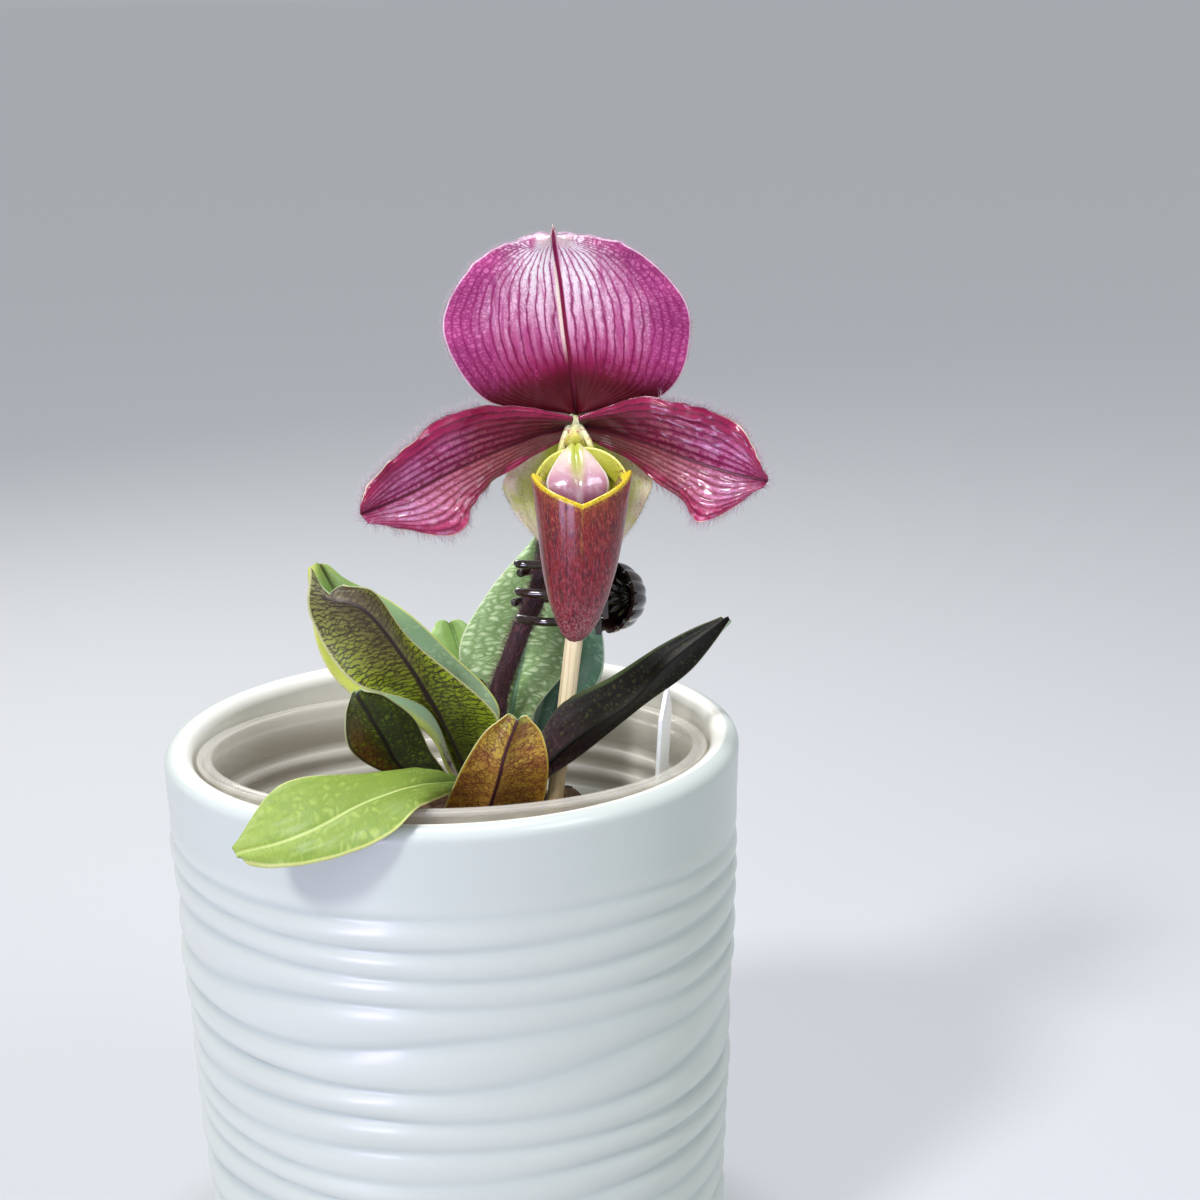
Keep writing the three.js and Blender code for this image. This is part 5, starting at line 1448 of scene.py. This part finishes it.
# petal tissue is thin and turgid, so light passes into it; the petals and the pouch look lacquered
flowerSkins = {
    "sepalFace": {
        "along": [(0.0, "#4a040d"), (0.12, "#6a0422"), (0.22, "#941250"), (0.38, "#c05c90"),
                  (0.7, "#d080aa"), (1.0, "#eac8d4")],
        "layers": [
            ("#c45c94", 0.75, ("side", 0.35, 1.0)),
            ("#eebcd6", 0.75, ("patches", 1.6, 14, 0.4, 0.58), ("side", 0.85, 0.55), ("along", 0.2, 0.42)),
            ("#fff2f6", 1, ("reach", 14, 5), ("along", 0.3, 0.58), ("patches", 2.0, 12, 0.26, 0.46)),
            ("#b4508a", 0.55, ("cells", 0.9, 1.1, 0.2, 0.05), ("patches", 2, 2, 0.3, 0.6), ("reach", 4, 9)),
            ([(0.0, "#4a0518"), (0.25, "#760c42"), (0.5, "#98286a"), (1.0, "#b45890")], 0.95,
             ("veins", 13, 1.1, 0.19, 0.04), ("patches", 0.8, 4.0, 0.24, 0.46)),
            ([(0.0, "#4a0518"), (0.25, "#8a1650"), (0.5, "#b04684"), (1.0, "#c4709e")], 0.55,
             ("veins", 13, 1.1, 0.4, 0.2), ("patches", 0.7, 1.3, 0.46, 0.6)),
            ("#8c2462", 0.75, ("cells", 1.4, 0.7, 0.27, 0.05), ("side", 0.42, 0.8)),
            ("#620418", 0.9, ("along", 0.3, 0.12), ("patches", 1.0, 4, 0.2, 0.5)),
            ("#4a0010", 0.95, ("along", 0.22, 0.13)),
            # painted highlight: a cream streak just left of the midrib groove, standing in for the light
            # that the groove's edge catches
            ("#ffeed8", 0.8, ("across", -0.055, -0.04), ("across", 0.0, -0.022), ("along", 0.2, 0.34),
             ("along", 0.7, 0.55)),
            ("#f8e2dc", 0.85, ("reach", 5, 1.5), ("along", 0.72, 0.9)),
            ([(0.0, "#34020a"), (0.3, "#780a34"), (0.75, "#98205a"), (0.93, "#c05a88"), (1.0, "#f4dfd2")],
             1, ("reach", 0.62, 0.28)),
            ("#f4d8e6", 0.75, ("fromEdge", 0.5, 0.12)),
        ],
        "grain": (0.3, 0.45), "sugar": 0.18, "bump": 0.6, "roughness": 0.55, "sheen": 0.05, "shine": 0.2,
    },
    "sepalBack": {
        "along": [(0.0, "#5f2a34"), (0.2, "#8c4a70"), (0.6, "#b982a8"), (1.0, "#d0b0bc")],
        "layers": [
            ("#8a3a6c", 0.7, ("veins", 10, 1.0, 0.24, 0.05)),
            ("#5a5a30", 1, ("reach", 4, 1), ("along", 0.4, 0.1)),
            ("#6a2440", 1, ("reach", 1.0, 0.3)),
        ],
        "grain": (0.35, 0.5), "roughness": 0.55, "glow": 0.3,
    },
    "petalFace": {
        "along": [(0.0, "#3a0f0c"), (0.12, "#560e1c"), (0.26, "#760c38"), (0.6, "#921656"),
                  (1.0, "#961450")],
        "layers": [
            ([(0.0, "#4a2218"), (0.2, "#74302e"), (0.45, "#9a4a58"), (0.75, "#9c4868"), (1.0, "#963c66")],
             0.95, ("across", 0.14, -0.1)),
            ("#b85a90", 0.6, ("across", 0.08, 0.24), ("across", 0.8, 0.5), ("along", 0.3, 0.5),
             ("patches", 3, 5, 0.34, 0.6)),
            ([(0.0, "#6c4034"), (0.3, "#aa6468"), (0.6, "#c87ea4"), (1.0, "#c478a4")], 0.8,
             ("veins", 7, 0.5, 0.14, 0.38), ("patches", 0.9, 0.9, 0.36, 0.56), ("across", 0.85, 0.35),
             ("along", 0.12, 0.4)),
            ("#a0164c", 0.85, ("across", -0.5, -0.85), ("patches", 1.6, 2.4, 0.36, 0.56)),
            ("#940444", 0.9, ("across", 0.55, 0.9)),
            # painted highlight: a pale lilac sheen on the lower half towards the tip, standing in for a
            # reflection
            ("#d4c4e6", 0.32, ("across", -0.04, -0.16), ("across", -0.7, -0.35), ("along", 0.6, 0.8),
             ("along", 1.0, 0.88), ("patches", 1.2, 2, 0.38, 0.58)),
            ([(0.0, "#2a0808"), (0.3, "#540822"), (1.0, "#780f44")], 0.8, ("veins", 7, 0.5, 0.15, 0.03)),
            ([(0.0, "#2a0808"), (0.3, "#5c0a28"), (1.0, "#80144a")], 0.6, ("veins", 7, 0.5, 0.36, 0.14),
             ("patches", 0.8, 1.2, 0.46, 0.6)),
            ("#8c0c3c", 0.55, ("along", 0.7, 0.92)),
            ("#540a24", 0.8, ("reach", 0.45, 0.2)),
            ("#f4dcc4", 0.85, ("fromEdge", 0.4, 0.1), ("along", 0.45, 0.75)),
        ],
        "grain": (0.35, 0.5), "sugar": 0.2, "bump": 0.7, "roughness": 0.45, "coat": 0.6,
        "coatRoughness": 0.15, "glow": 0.12, "sheen": 0.1, "shine": 0.3,
    },
    "petalBack": {
        "along": [(0.0, "#5a3426"), (0.3, "#843c54"), (1.0, "#b86c90")],
        "layers": [
            ("#64203f", 0.7, ("veins", 6, 0.5, 0.24, 0.05)),
            ("#5a2230", 1, ("reach", 0.9, 0.3)),
        ],
        "grain": (0.35, 0.6), "roughness": 0.45, "coat": 0.2, "glow": 0.25,
    },
    "synsepalSkin": {
        "along": [(0.0, "#b0bc2c"), (0.3, "#b4be38"), (0.5, "#bcc070"), (0.8, "#ccc9a4"), (1.0, "#d0c8ae")],
        "layers": [
            ("#e6d6cf", 0.9, ("side", 0.5, 0.95), ("patches", 4, 5, 0.2, 0.6)),
            ("#a8b05c", 0.35, ("veins", 5, 0.8, 0.2, 0.03), ("patches", 2, 5, 0.35, 0.6)),
            ("#c4a890", 0.35, ("patches", 3, 5, 0.52, 0.75)),
        ],
        "grain": (0.35, 0.6), "sugar": 0.08, "glow": 0.35, "sheen": 0.3,
    },
    "staminodeSkin": {
        "along": [(0.0, "#d8d888"), (0.2, "#e0ccb4"), (0.4, "#c088a0"), (0.75, "#8e466a"),
                  (1.0, "#763258")],
        "layers": [
            ("#e6ccd8", 0.35, ("patches", 1.4, 1.8, 0.48, 0.66), ("along", 0.75, 0.4)),
            ("#aab42c", 0.9, ("reach", 2.4, 0.5), ("along", 0.6, 0.2)),
            ("#e8d8cc", 0.35, ("reach", 1.5, 2.4), ("along", 0.5, 0.2)),
            ("#e6ccd6", 0.5, ("reach", 1.2, 0.2), ("along", 0.45, 0.62), ("along", 0.95, 0.65)),
            ("#f4e8ea", 0.8, ("fromEdge", 0.7, 0.2), ("along", 0.85, 0.5)),
        ],
        "grain": (0.5, 0.6), "sugar": 0.04, "bump": 0.6, "roughness": 0.24, "coat": 1.0,
        "coatRoughness": 0.05, "glow": 0.3,
    },
    "columnSkin": {
        "along": [(0.0, "#c8c698"), (0.5, "#d4cfa4"), (0.85, "#ccc878"), (1.0, "#c0bc48")],
        "layers": [
            ("#a84a62", 0.8, ("patches", 1.0, 1.0, 0.56, 0.64)),
        ],
        "grain": (0.3, 0.4), "sugar": 0.06, "roughness": 0.4, "coat": 0.3, "glow": 0.4,
    },
    "pale_plant_hair": {
        "along": [(0.0, "#b07e9c"), (1.0, "#b07e9c")],
        "layers": [
            ("#d8b4c8", 1, ("patches", 3, 3, 0.4, 0.7)),
        ],
        "roughness": 0.4, "glow": 0.4,
    },
    "pouch_outside": {
        "along": [(0.0, "#8a5050"), (0.05, "#7a2c34"), (0.16, "#760e20"), (0.55, "#78081a"),
                  (0.85, "#7c121c"), (1.0, "#7e2016")],
        "layers": [
            ("#44061a", 0.85, ("patches", 0.6, 3, 0.44, 0.6)),
            ("#a84458", 0.6, ("patches", 0.4, 1.5, 0.46, 0.66), ("along", 0.9, 0.4)),
            ("#b08088", 0.5, ("patches", 0.4, 0.6, 0.46, 0.6), ("along", 0.42, 0.08)),
            ("#b4604c", 0.5, ("patches", 0.3, 1.2, 0.5, 0.62), ("fromEdge", 16, 4)),
            ("#a0683c", 0.3, ("patches", 0.35, 0.8, 0.58, 0.68)),
            ("#8a3a22", 0.6, ("fromEdge", 7, 1), ("patches", 0.6, 2.5, 0.34, 0.56)),
            ("#a87a34", 0.5, ("side", 0.008, 0.003), ("along", 0.5, 0.9),
             ("patches", 0.5, 1.5, 0.34, 0.54)),
            ("#c0902a", 0.75, ("fromEdge", 1.9, 0.7), ("patches", 0.4, 0.5, 0.5, 0.6)),
            ("#d4b81e", 1, ("fromEdge", 0.7, 0.45), ("side", 0.7, 0.6)),
            ("#8a5a1a", 0.7, ("fromEdge", 0.9, 0.6), ("patches", 0.3, 0.4, 0.54, 0.62), ("side", 0.7, 0.6)),
            ("#9a9c3a", 1, ("side", 0.5, 0.82), ("patches", 0.8, 3, 0.3, 0.5)),
            ("#a8ac3a", 1, ("side", 0.66, 0.92)),
        ],
        "grain": (0.3, 0.6), "sugar": 0.2, "bump": 0.7, "coat": 0.6, "coatRoughness": 0.14, "glow": 0.06,
        "sheen": 0.03, "shine": 0.25,
    },
    "pouch_inside": {
        "along": [(0.0, "#a09a50"), (0.5, "#b2b048"), (1.0, "#b8b83c")],
        "layers": [
            ("#7a3a1c", 1, ("patches", 0.6, 0.7, 0.54, 0.6), ("side", 0.8, 0.65)),
            ("#dcc41e", 1, ("fromEdge", 1.2, 0.6), ("side", 0.66, 0.56)),
        ],
        "grain": (0.4, 0.4), "sugar": 0.1, "bump": 0.6, "roughness": 0.38, "coat": 0.35, "glow": 0.3,
    },
}
bloom = {name: livingTissue(name, look) for name, look in flowerSkins.items()}


def veinRelief(count, depth, pucker):
    # raised veins with the skin between them gently blistered
    def relief(place, sheet):
        lines = place[:, :, 0] * count
        near = np.abs(lines - np.round(lines)) * 2
        spots = [Vector((x * 0.5, y * 0.25, z)) for x, y, z in sheet.reshape(-1, 3)]
        rough = np.array([noise.noise(spot) for spot in spots]).reshape(near.shape)
        fade = smooth(0.0, 0.1, place[:, :, 1]) * smooth(0.0, 0.15, np.abs(place[:, :, 0]))
        return (depth * (1 - 2 * near) + pucker * rough) * fade
    return relief


# upper skin, lower skin, slot, thickness, keel, rows, columns, and the veins' count, depth and blistering
flowerBuild = {
    "dorsal_sepal": ("sepalFace", "sepalBack", "sepal", 0.8, 0.5, 150, 132, (15, 0.05, 0.3)),
    "petal_left": ("petalFace", "petalBack", "petal", 0.8, 0.3, 120, 90, (7, 0.06, 0.4)),
    "petal_right": ("petalFace", "petalBack", "petal", 0.8, 0.3, 120, 90, (7, 0.06, 0.4)),
    "synsepal": ("synsepalSkin", "synsepalSkin", "pale_sepal", 0.8, 0.3, 96, 60, (6, 0.06, 0.25)),
    "staminode": ("staminodeSkin", "staminodeSkin", "pink_tissue", 1.3, 0.3, 70, 48, (1, 0.0, 0.22)),
}
for node, (upper, lower, slot, thickness, keel, rows, columns, veins) in flowerBuild.items():
    bladePiece(node, flowerShapes[node], [bloom[upper], bloom[lower]], thickness=thickness, keel=keel,
               rows=rows, columns=columns, relief=veinRelief(*veins))


def columnRadius(f, turn):
    return (1.5 + 0.7 * f) * (1 + 0.04 * math.cos(3 * turn))


def armRadius(f, turn):
    return 0.95 - 0.35 * f + 0.06 * math.cos(5 * turn)


columnParts = [rod(column["path"], columnRadius, 60, 40)]
for arm in column["arms"]:
    columnParts.append(rod(arm, armRadius, 24, 20))
makePiece("flower_column", joined(columnParts), [bloom["columnSkin"]], stands=["column"])

petalDown = {"spacing": 0.12, "from": 0.36, "length": 1.9, "radius": 0.036, "spread": 0.25, "curl": 0.22}
marginDown = {
    "dorsal_sepal": {"spacing": 0.11, "from": 0.36, "length": 0.95, "radius": 0.032, "spread": 0.3,
                     "curl": 0.15},
    "petal_left": petalDown,
    "petal_right": petalDown,
    "synsepal": {"spacing": 0.2, "from": 0.1, "length": 0.8, "radius": 0.028, "spread": 0.3, "curl": 0.15},
}
faceDown = {"count": 420, "from": 0.04, "to": 0.5,
            "length": 1.0, "radius": 0.04, "spread": 0.4, "curl": 0.15}
chance = random.Random(31)
for node, look in marginDown.items():
    hairs(node + "_down", marginRoots(flowerShapes[node], look, chance), look, bloom["pale_plant_hair"],
          40 + len(node))
hairs("synsepal_face_down", surfaceRoots(flowerShapes["synsepal"], faceDown, chance), faceDown, darkDown,
      61)
print("sepals, petals and column opened")


# pouch: half-width, depth and middle of the slipper at heights from its toe to its mouth

pouch = {
    "levels": [
        [157.3, 26.4, -21.5, 1.4, 1.4], [158.7, 26.5, -21.4, 3, 3], [161.4, 26.8, -21, 4.5, 4.6],
        [166, 27.1, -20.4, 6.2, 6.6], [172.9, 27.6, -19.8, 7.8, 8.4], [179, 28, -19.4, 8.7, 9.3],
        [185.9, 28.3, -19, 9.6, 10], [192, 28.4, -18.6, 10.3, 10.4], [197, 28.3, -17.6, 10.2, 10.8],
    ],  # z, x, y, half-width, depth
    "notchZ": 187,
    "earZ": 192,
    "backZ": 194.5,
    "earDip": 2.2,
    "earFrom": 0.44,  # shares of the way from the notch round to the back
    "earTo": 0.6,
    "turned": 0.45,  # how far the front looks to the left
    "crease": 0.5,
    "wall": 0.8,
    "lipRise": 0.35,
    "fold": 2.2,  # how far the ears roll inwards
    "foldDrop": 4.2,
    "sides": 192,
    "rows": 96,
}


def pouchRim(turn):
    # height of the rim; the turn runs from the notch at the front, 0, round to the back, pi
    p = pouch
    side = abs(turn) / math.pi
    first, last, dip = p["earFrom"], p["earTo"], p["earDip"]
    if side < first:
        return p["notchZ"] + (p["earZ"] - p["notchZ"]) * (side / first) ** 0.9
    if side < last:
        return p["earZ"] - dip * math.sin(math.pi / 2 * (side - first) / (last - first))
    rise = p["backZ"] - p["earZ"] + dip
    return p["earZ"] - dip + rise * math.sin(math.pi / 2 * (side - last) / (1 - last))


def shapePouch():
    p = pouch
    levels = np.array(p["levels"])
    heights = levels[:, 0]
    toe = heights[0]
    drop = p["foldDrop"]

    def atHeight(z):
        i = int(np.clip(np.searchsorted(heights, z) - 1, 0, len(heights) - 2))
        return along(levels, i + min(max((z - heights[i]) / (heights[i + 1] - heights[i]), 0), 1))

    def squared(value):
        return math.copysign(abs(value) ** 0.86, value)

    def point(turn, z, inset):
        x, y, half, deep = atHeight(z)[1:]
        crease = max(0, 1 - abs(turn) / 0.25) * p["crease"]
        x = x + (half - inset) * squared(math.sin(turn)) - p["turned"] * (1 + math.cos(turn))
        return (x, y - (deep - inset + crease) * squared(math.cos(turn)), z)

    turns = [math.pi * (2 * k / p["sides"] - 1) for k in range(p["sides"])]
    rims = [pouchRim(turn) for turn in turns]
    ears = [math.exp(-(((abs(turn) / math.pi - 0.5) / 0.12) ** 2)) for turn in turns]
    rows, place = [], []
    for r in range(p["rows"] + 1):
        share = r / p["rows"]
        rows.append([point(turn, toe + (rim - toe) * share, 0) for turn, rim in zip(turns, rims)])
        place.append([(turn / math.pi, share, (rim - toe) * (1 - share)) for turn, rim in zip(turns, rims)])
    for step in range(1, 6):
        # rounded lip
        f = step / 6
        rise = p["lipRise"] * math.sin(math.pi * f)
        rows.append([point(turn, rim + rise, p["wall"] * f) for turn, rim in zip(turns, rims)])
        place.append([(turn / math.pi, 1, 0) for turn in turns])
    folds = np.array([[0.0, 0.2], [0.5, 1.0], [1.4, p["fold"]], [3, p["fold"] * 0.8], [drop, 0.1]])
    for step in range(25):
        down, depth = along(folds, 4 * step / 24)
        insets = [p["wall"] + depth * ear for ear in ears]
        rows.append([point(turn, rim - down, inset) for turn, rim, inset in zip(turns, rims, insets)])
        place.append([(turn / math.pi, 1, down) for turn in turns])
    base = toe + p["wall"]
    deepest = 0.84
    for share in np.linspace(deepest, 0, 40):
        inner = [base + (rim - drop - base) * share / deepest for rim in rims]
        rows.append([point(turn, z, p["wall"]) for turn, z in zip(turns, inner)])
        place.append([(turn / math.pi, share, 5) for turn in turns])
    points = np.array(rows).reshape(-1, 3)
    marks = {"place": np.array(place).reshape(-1, 3), "sheet": points[:, [0, 2, 1]]}
    faces = ringFaces(len(rows), p["sides"])
    lining = (p["rows"] + 3) * p["sides"]
    skins = [1 if k >= lining else 0 for k in range(len(faces))]
    skins[-2] = 0
    makePiece("slipper_pouch", {"points": points, "faces": faces, "marks": marks},
              [bloom["pouch_outside"], bloom["pouch_inside"]],
              stands=["pouch"], skins=skins)


shapePouch()
print("pouch shaped")

# claw clip that ties the stem to the stake: front jaw, back jaw on its hinge, pin and spring

clip = {
    "pin": [32.5, 7.5],
    "bore": 1,
    "knuckle": 1.8,
    "prong": 0.95,
    "wall": 1.4,
    "bevel": 0.25,
    "shellAt": [35, 9.2, 158],
    "shellFaces": [-0.75, -0.66, 0.2],
    "shellRadius": 7.7,
    "shellDepth": 1.15,
    "shellWall": 0.9,
    "flutes": 14,
    "fluteDepth": 0.28,
}

# dark brown injection-moulded acrylic: very glossy, with warmer brown clouds
acrylic = clouded("moulded_acrylic", {
    "clouds": {"Scale": 160.0, "Detail": 4.0, "Distortion": 1.2},
    "stops": [(0.4, "#1c0f10"), (0.75, "#3a2018")],
    "relief": {"Scale": 500.0, "Detail": 2.0},
    "bump": {"Strength": 0.15, "Distance": 0.0002},
    "surface": {"Roughness": 0.12, "IOR": 1.52, "Coat Weight": 0.8, "Coat Roughness": 0.03},
})

# drawn spring wire: bright, with a fine grain from the draw
springSteel = clouded("drawn_spring_steel", {
    "clouds": {"Scale": 1800.0, "Detail": 2.0},
    "stops": [(0.3, "#9a9ca0"), (0.7, "#b8babd")],
    "bump": {"Strength": 0.2, "Distance": 0.0001},
    "surface": {"Metallic": 1.0, "Roughness": 0.32},
})


def prongRadius(f, turn):
    return clip["prong"] * (1 - 0.45 * smooth(0.9, 1.0, f))


def prong(plan, z):
    part = rod([[x, y, z] for x, y in plan], prongRadius, 60, 18)
    return {"points": part["points"], "faces": part["faces"]}


def slab(start, end, z0, z1, thickness=clip["wall"]):
    # an upright plate between two places in plan
    (x0, y0), (x1, y1) = start, end
    ahead = unit(np.array([x1 - x0, y1 - y0, 0.0])) * np.hypot(x1 - x0, y1 - y0) / 2
    out = np.array([-ahead[1], ahead[0], 0]) / np.linalg.norm(ahead) * thickness / 2
    middle = np.array([(x0 + x1) / 2, (y0 + y1) / 2, 0])
    corners = [middle - ahead - out, middle + ahead - out, middle + ahead + out, middle - ahead + out]
    points = [corner + [0, 0, z] for z in (z0, z1) for corner in corners]
    faces = [(0, 3, 2, 1), (4, 5, 6, 7), (0, 1, 5, 4), (1, 2, 6, 5), (2, 3, 7, 6), (3, 0, 4, 7)]
    return {"points": np.array(points), "faces": faces}


def knuckle(z0, z1):
    # a short tube round the pin
    sides = 40
    turns = turnsOf(sides)
    inner, outer = clip["bore"], clip["knuckle"]
    profile = ((inner, z0), (outer, z0), (outer, z1), (inner, z1))
    rings = [ring(radius, turns, z) + [*clip["pin"], 0] for radius, z in profile]
    faces = []
    for r in range(4):
        for k in range(sides):
            a, b, up = r * sides, (k + 1) % sides, ((r + 1) % 4) * sides
            faces.append((a + k, a + b, up + b, up + k))
    return {"points": np.concatenate(rings), "faces": faces}


def shell():
    # fluted cup that decorates the back jaw, its mouth a scalloped rim
    opening = unit(np.array(clip["shellFaces"]))
    sideways = unit(np.cross([0, 0, 1], opening))
    upwards = np.cross(opening, sideways)
    turns = turnsOf(clip["flutes"] * 12)
    ribs = np.abs(np.cos(clip["flutes"] / 2 * turns)) * 2 - 1
    outer = clip["shellRadius"]
    inner = outer - clip["shellWall"]
    steps = [(outer, polar) for polar in np.linspace(84, 0, 22)]
    steps += [(inner, polar) for polar in np.linspace(0, 84, 22)]
    rows = []
    for radius, polar in steps:
        angle = math.radians(polar)
        flute = ribs * clip["fluteDepth"] * math.cos(angle) ** 0.6 * (1 if radius == outer else 1.3)
        around = (radius + flute) * math.cos(angle)
        depth = -radius * math.sin(angle) * clip["shellDepth"] + 0.25 * ribs * smooth(40, 0, polar)
        row = np.array(clip["shellAt"]) + np.outer(depth, opening)
        row = row + np.outer(around * np.cos(turns), sideways) + np.outer(around * np.sin(turns), upwards)
        rows.append(row)
    return {"points": np.concatenate(rows), "faces": ringFaces(len(rows), len(turns))}


def buildClip():
    front = []
    for z in (167.7, 161.5, 155.5):
        bow = 1.1 - (168.5 - z) * 0.146
        front.append(prong([[32, bow + 0.2], [28, bow - 0.2], [21, bow + 0.4], [16, 2.4], [15, 4.2]], z))
    front += [slab((32.7, 4.6), (32, -0.6), 152.2, 168.5), slab((31.9, 0.2), (33.4, -3.6), 156.5, 166, 1.3)]
    front += [knuckle(151.8, 154.2), slab((32.8, 6), (32.6, 3.8), 152.2, 154.2)]
    front += [knuckle(163.9, 166.4), slab((32.8, 6), (32.6, 3.8), 163.9, 166)]
    frontJaw = makePiece("clip_front", joined(front), [acrylic], stands=["clip_front_jaw"])
    back = [prong([[31, 12], [27, 13.8], [20.6, 12.9], [16.6, 11.1], [15.9, 10]], 163.8)]
    back += [prong([[31, 12], [27, 13.2], [18.6, 12], [15.2, 10.6], [14.2, 9.4]], 157.3)]
    back += [knuckle(154.6, 156.8), knuckle(161.3, 163.5)]
    back += [slab((32.2, 9.1), (31.2, 12.4), z0, z1) for z0, z1 in ((154.6, 156.8), (161.3, 163.5))]
    back += [slab((29.2, 12.7), (33.4, 12.9), 154.6, 163.5), slab((29.2, 12.9), (31.6, 15.2), 155, 162.5)]
    backJaw = makePiece("clip_back_with_shell", joined(back + [shell()]), [acrylic],
                        stands=["clip_back_jaw"], body="clip_back")
    for jaw in (frontJaw, backJaw):
        roundEdges(jaw, "moulded_edges", clip["bevel"], 50)
    dressNode("clip_pin", springSteel, bevel=0.15)
    dressNode("clip_spring", springSteel)


buildClip()
print("clip assembled")

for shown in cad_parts.values():
    if not shown.hide_render and not shown.data.materials:
        print("no finish yet:", shown.name)
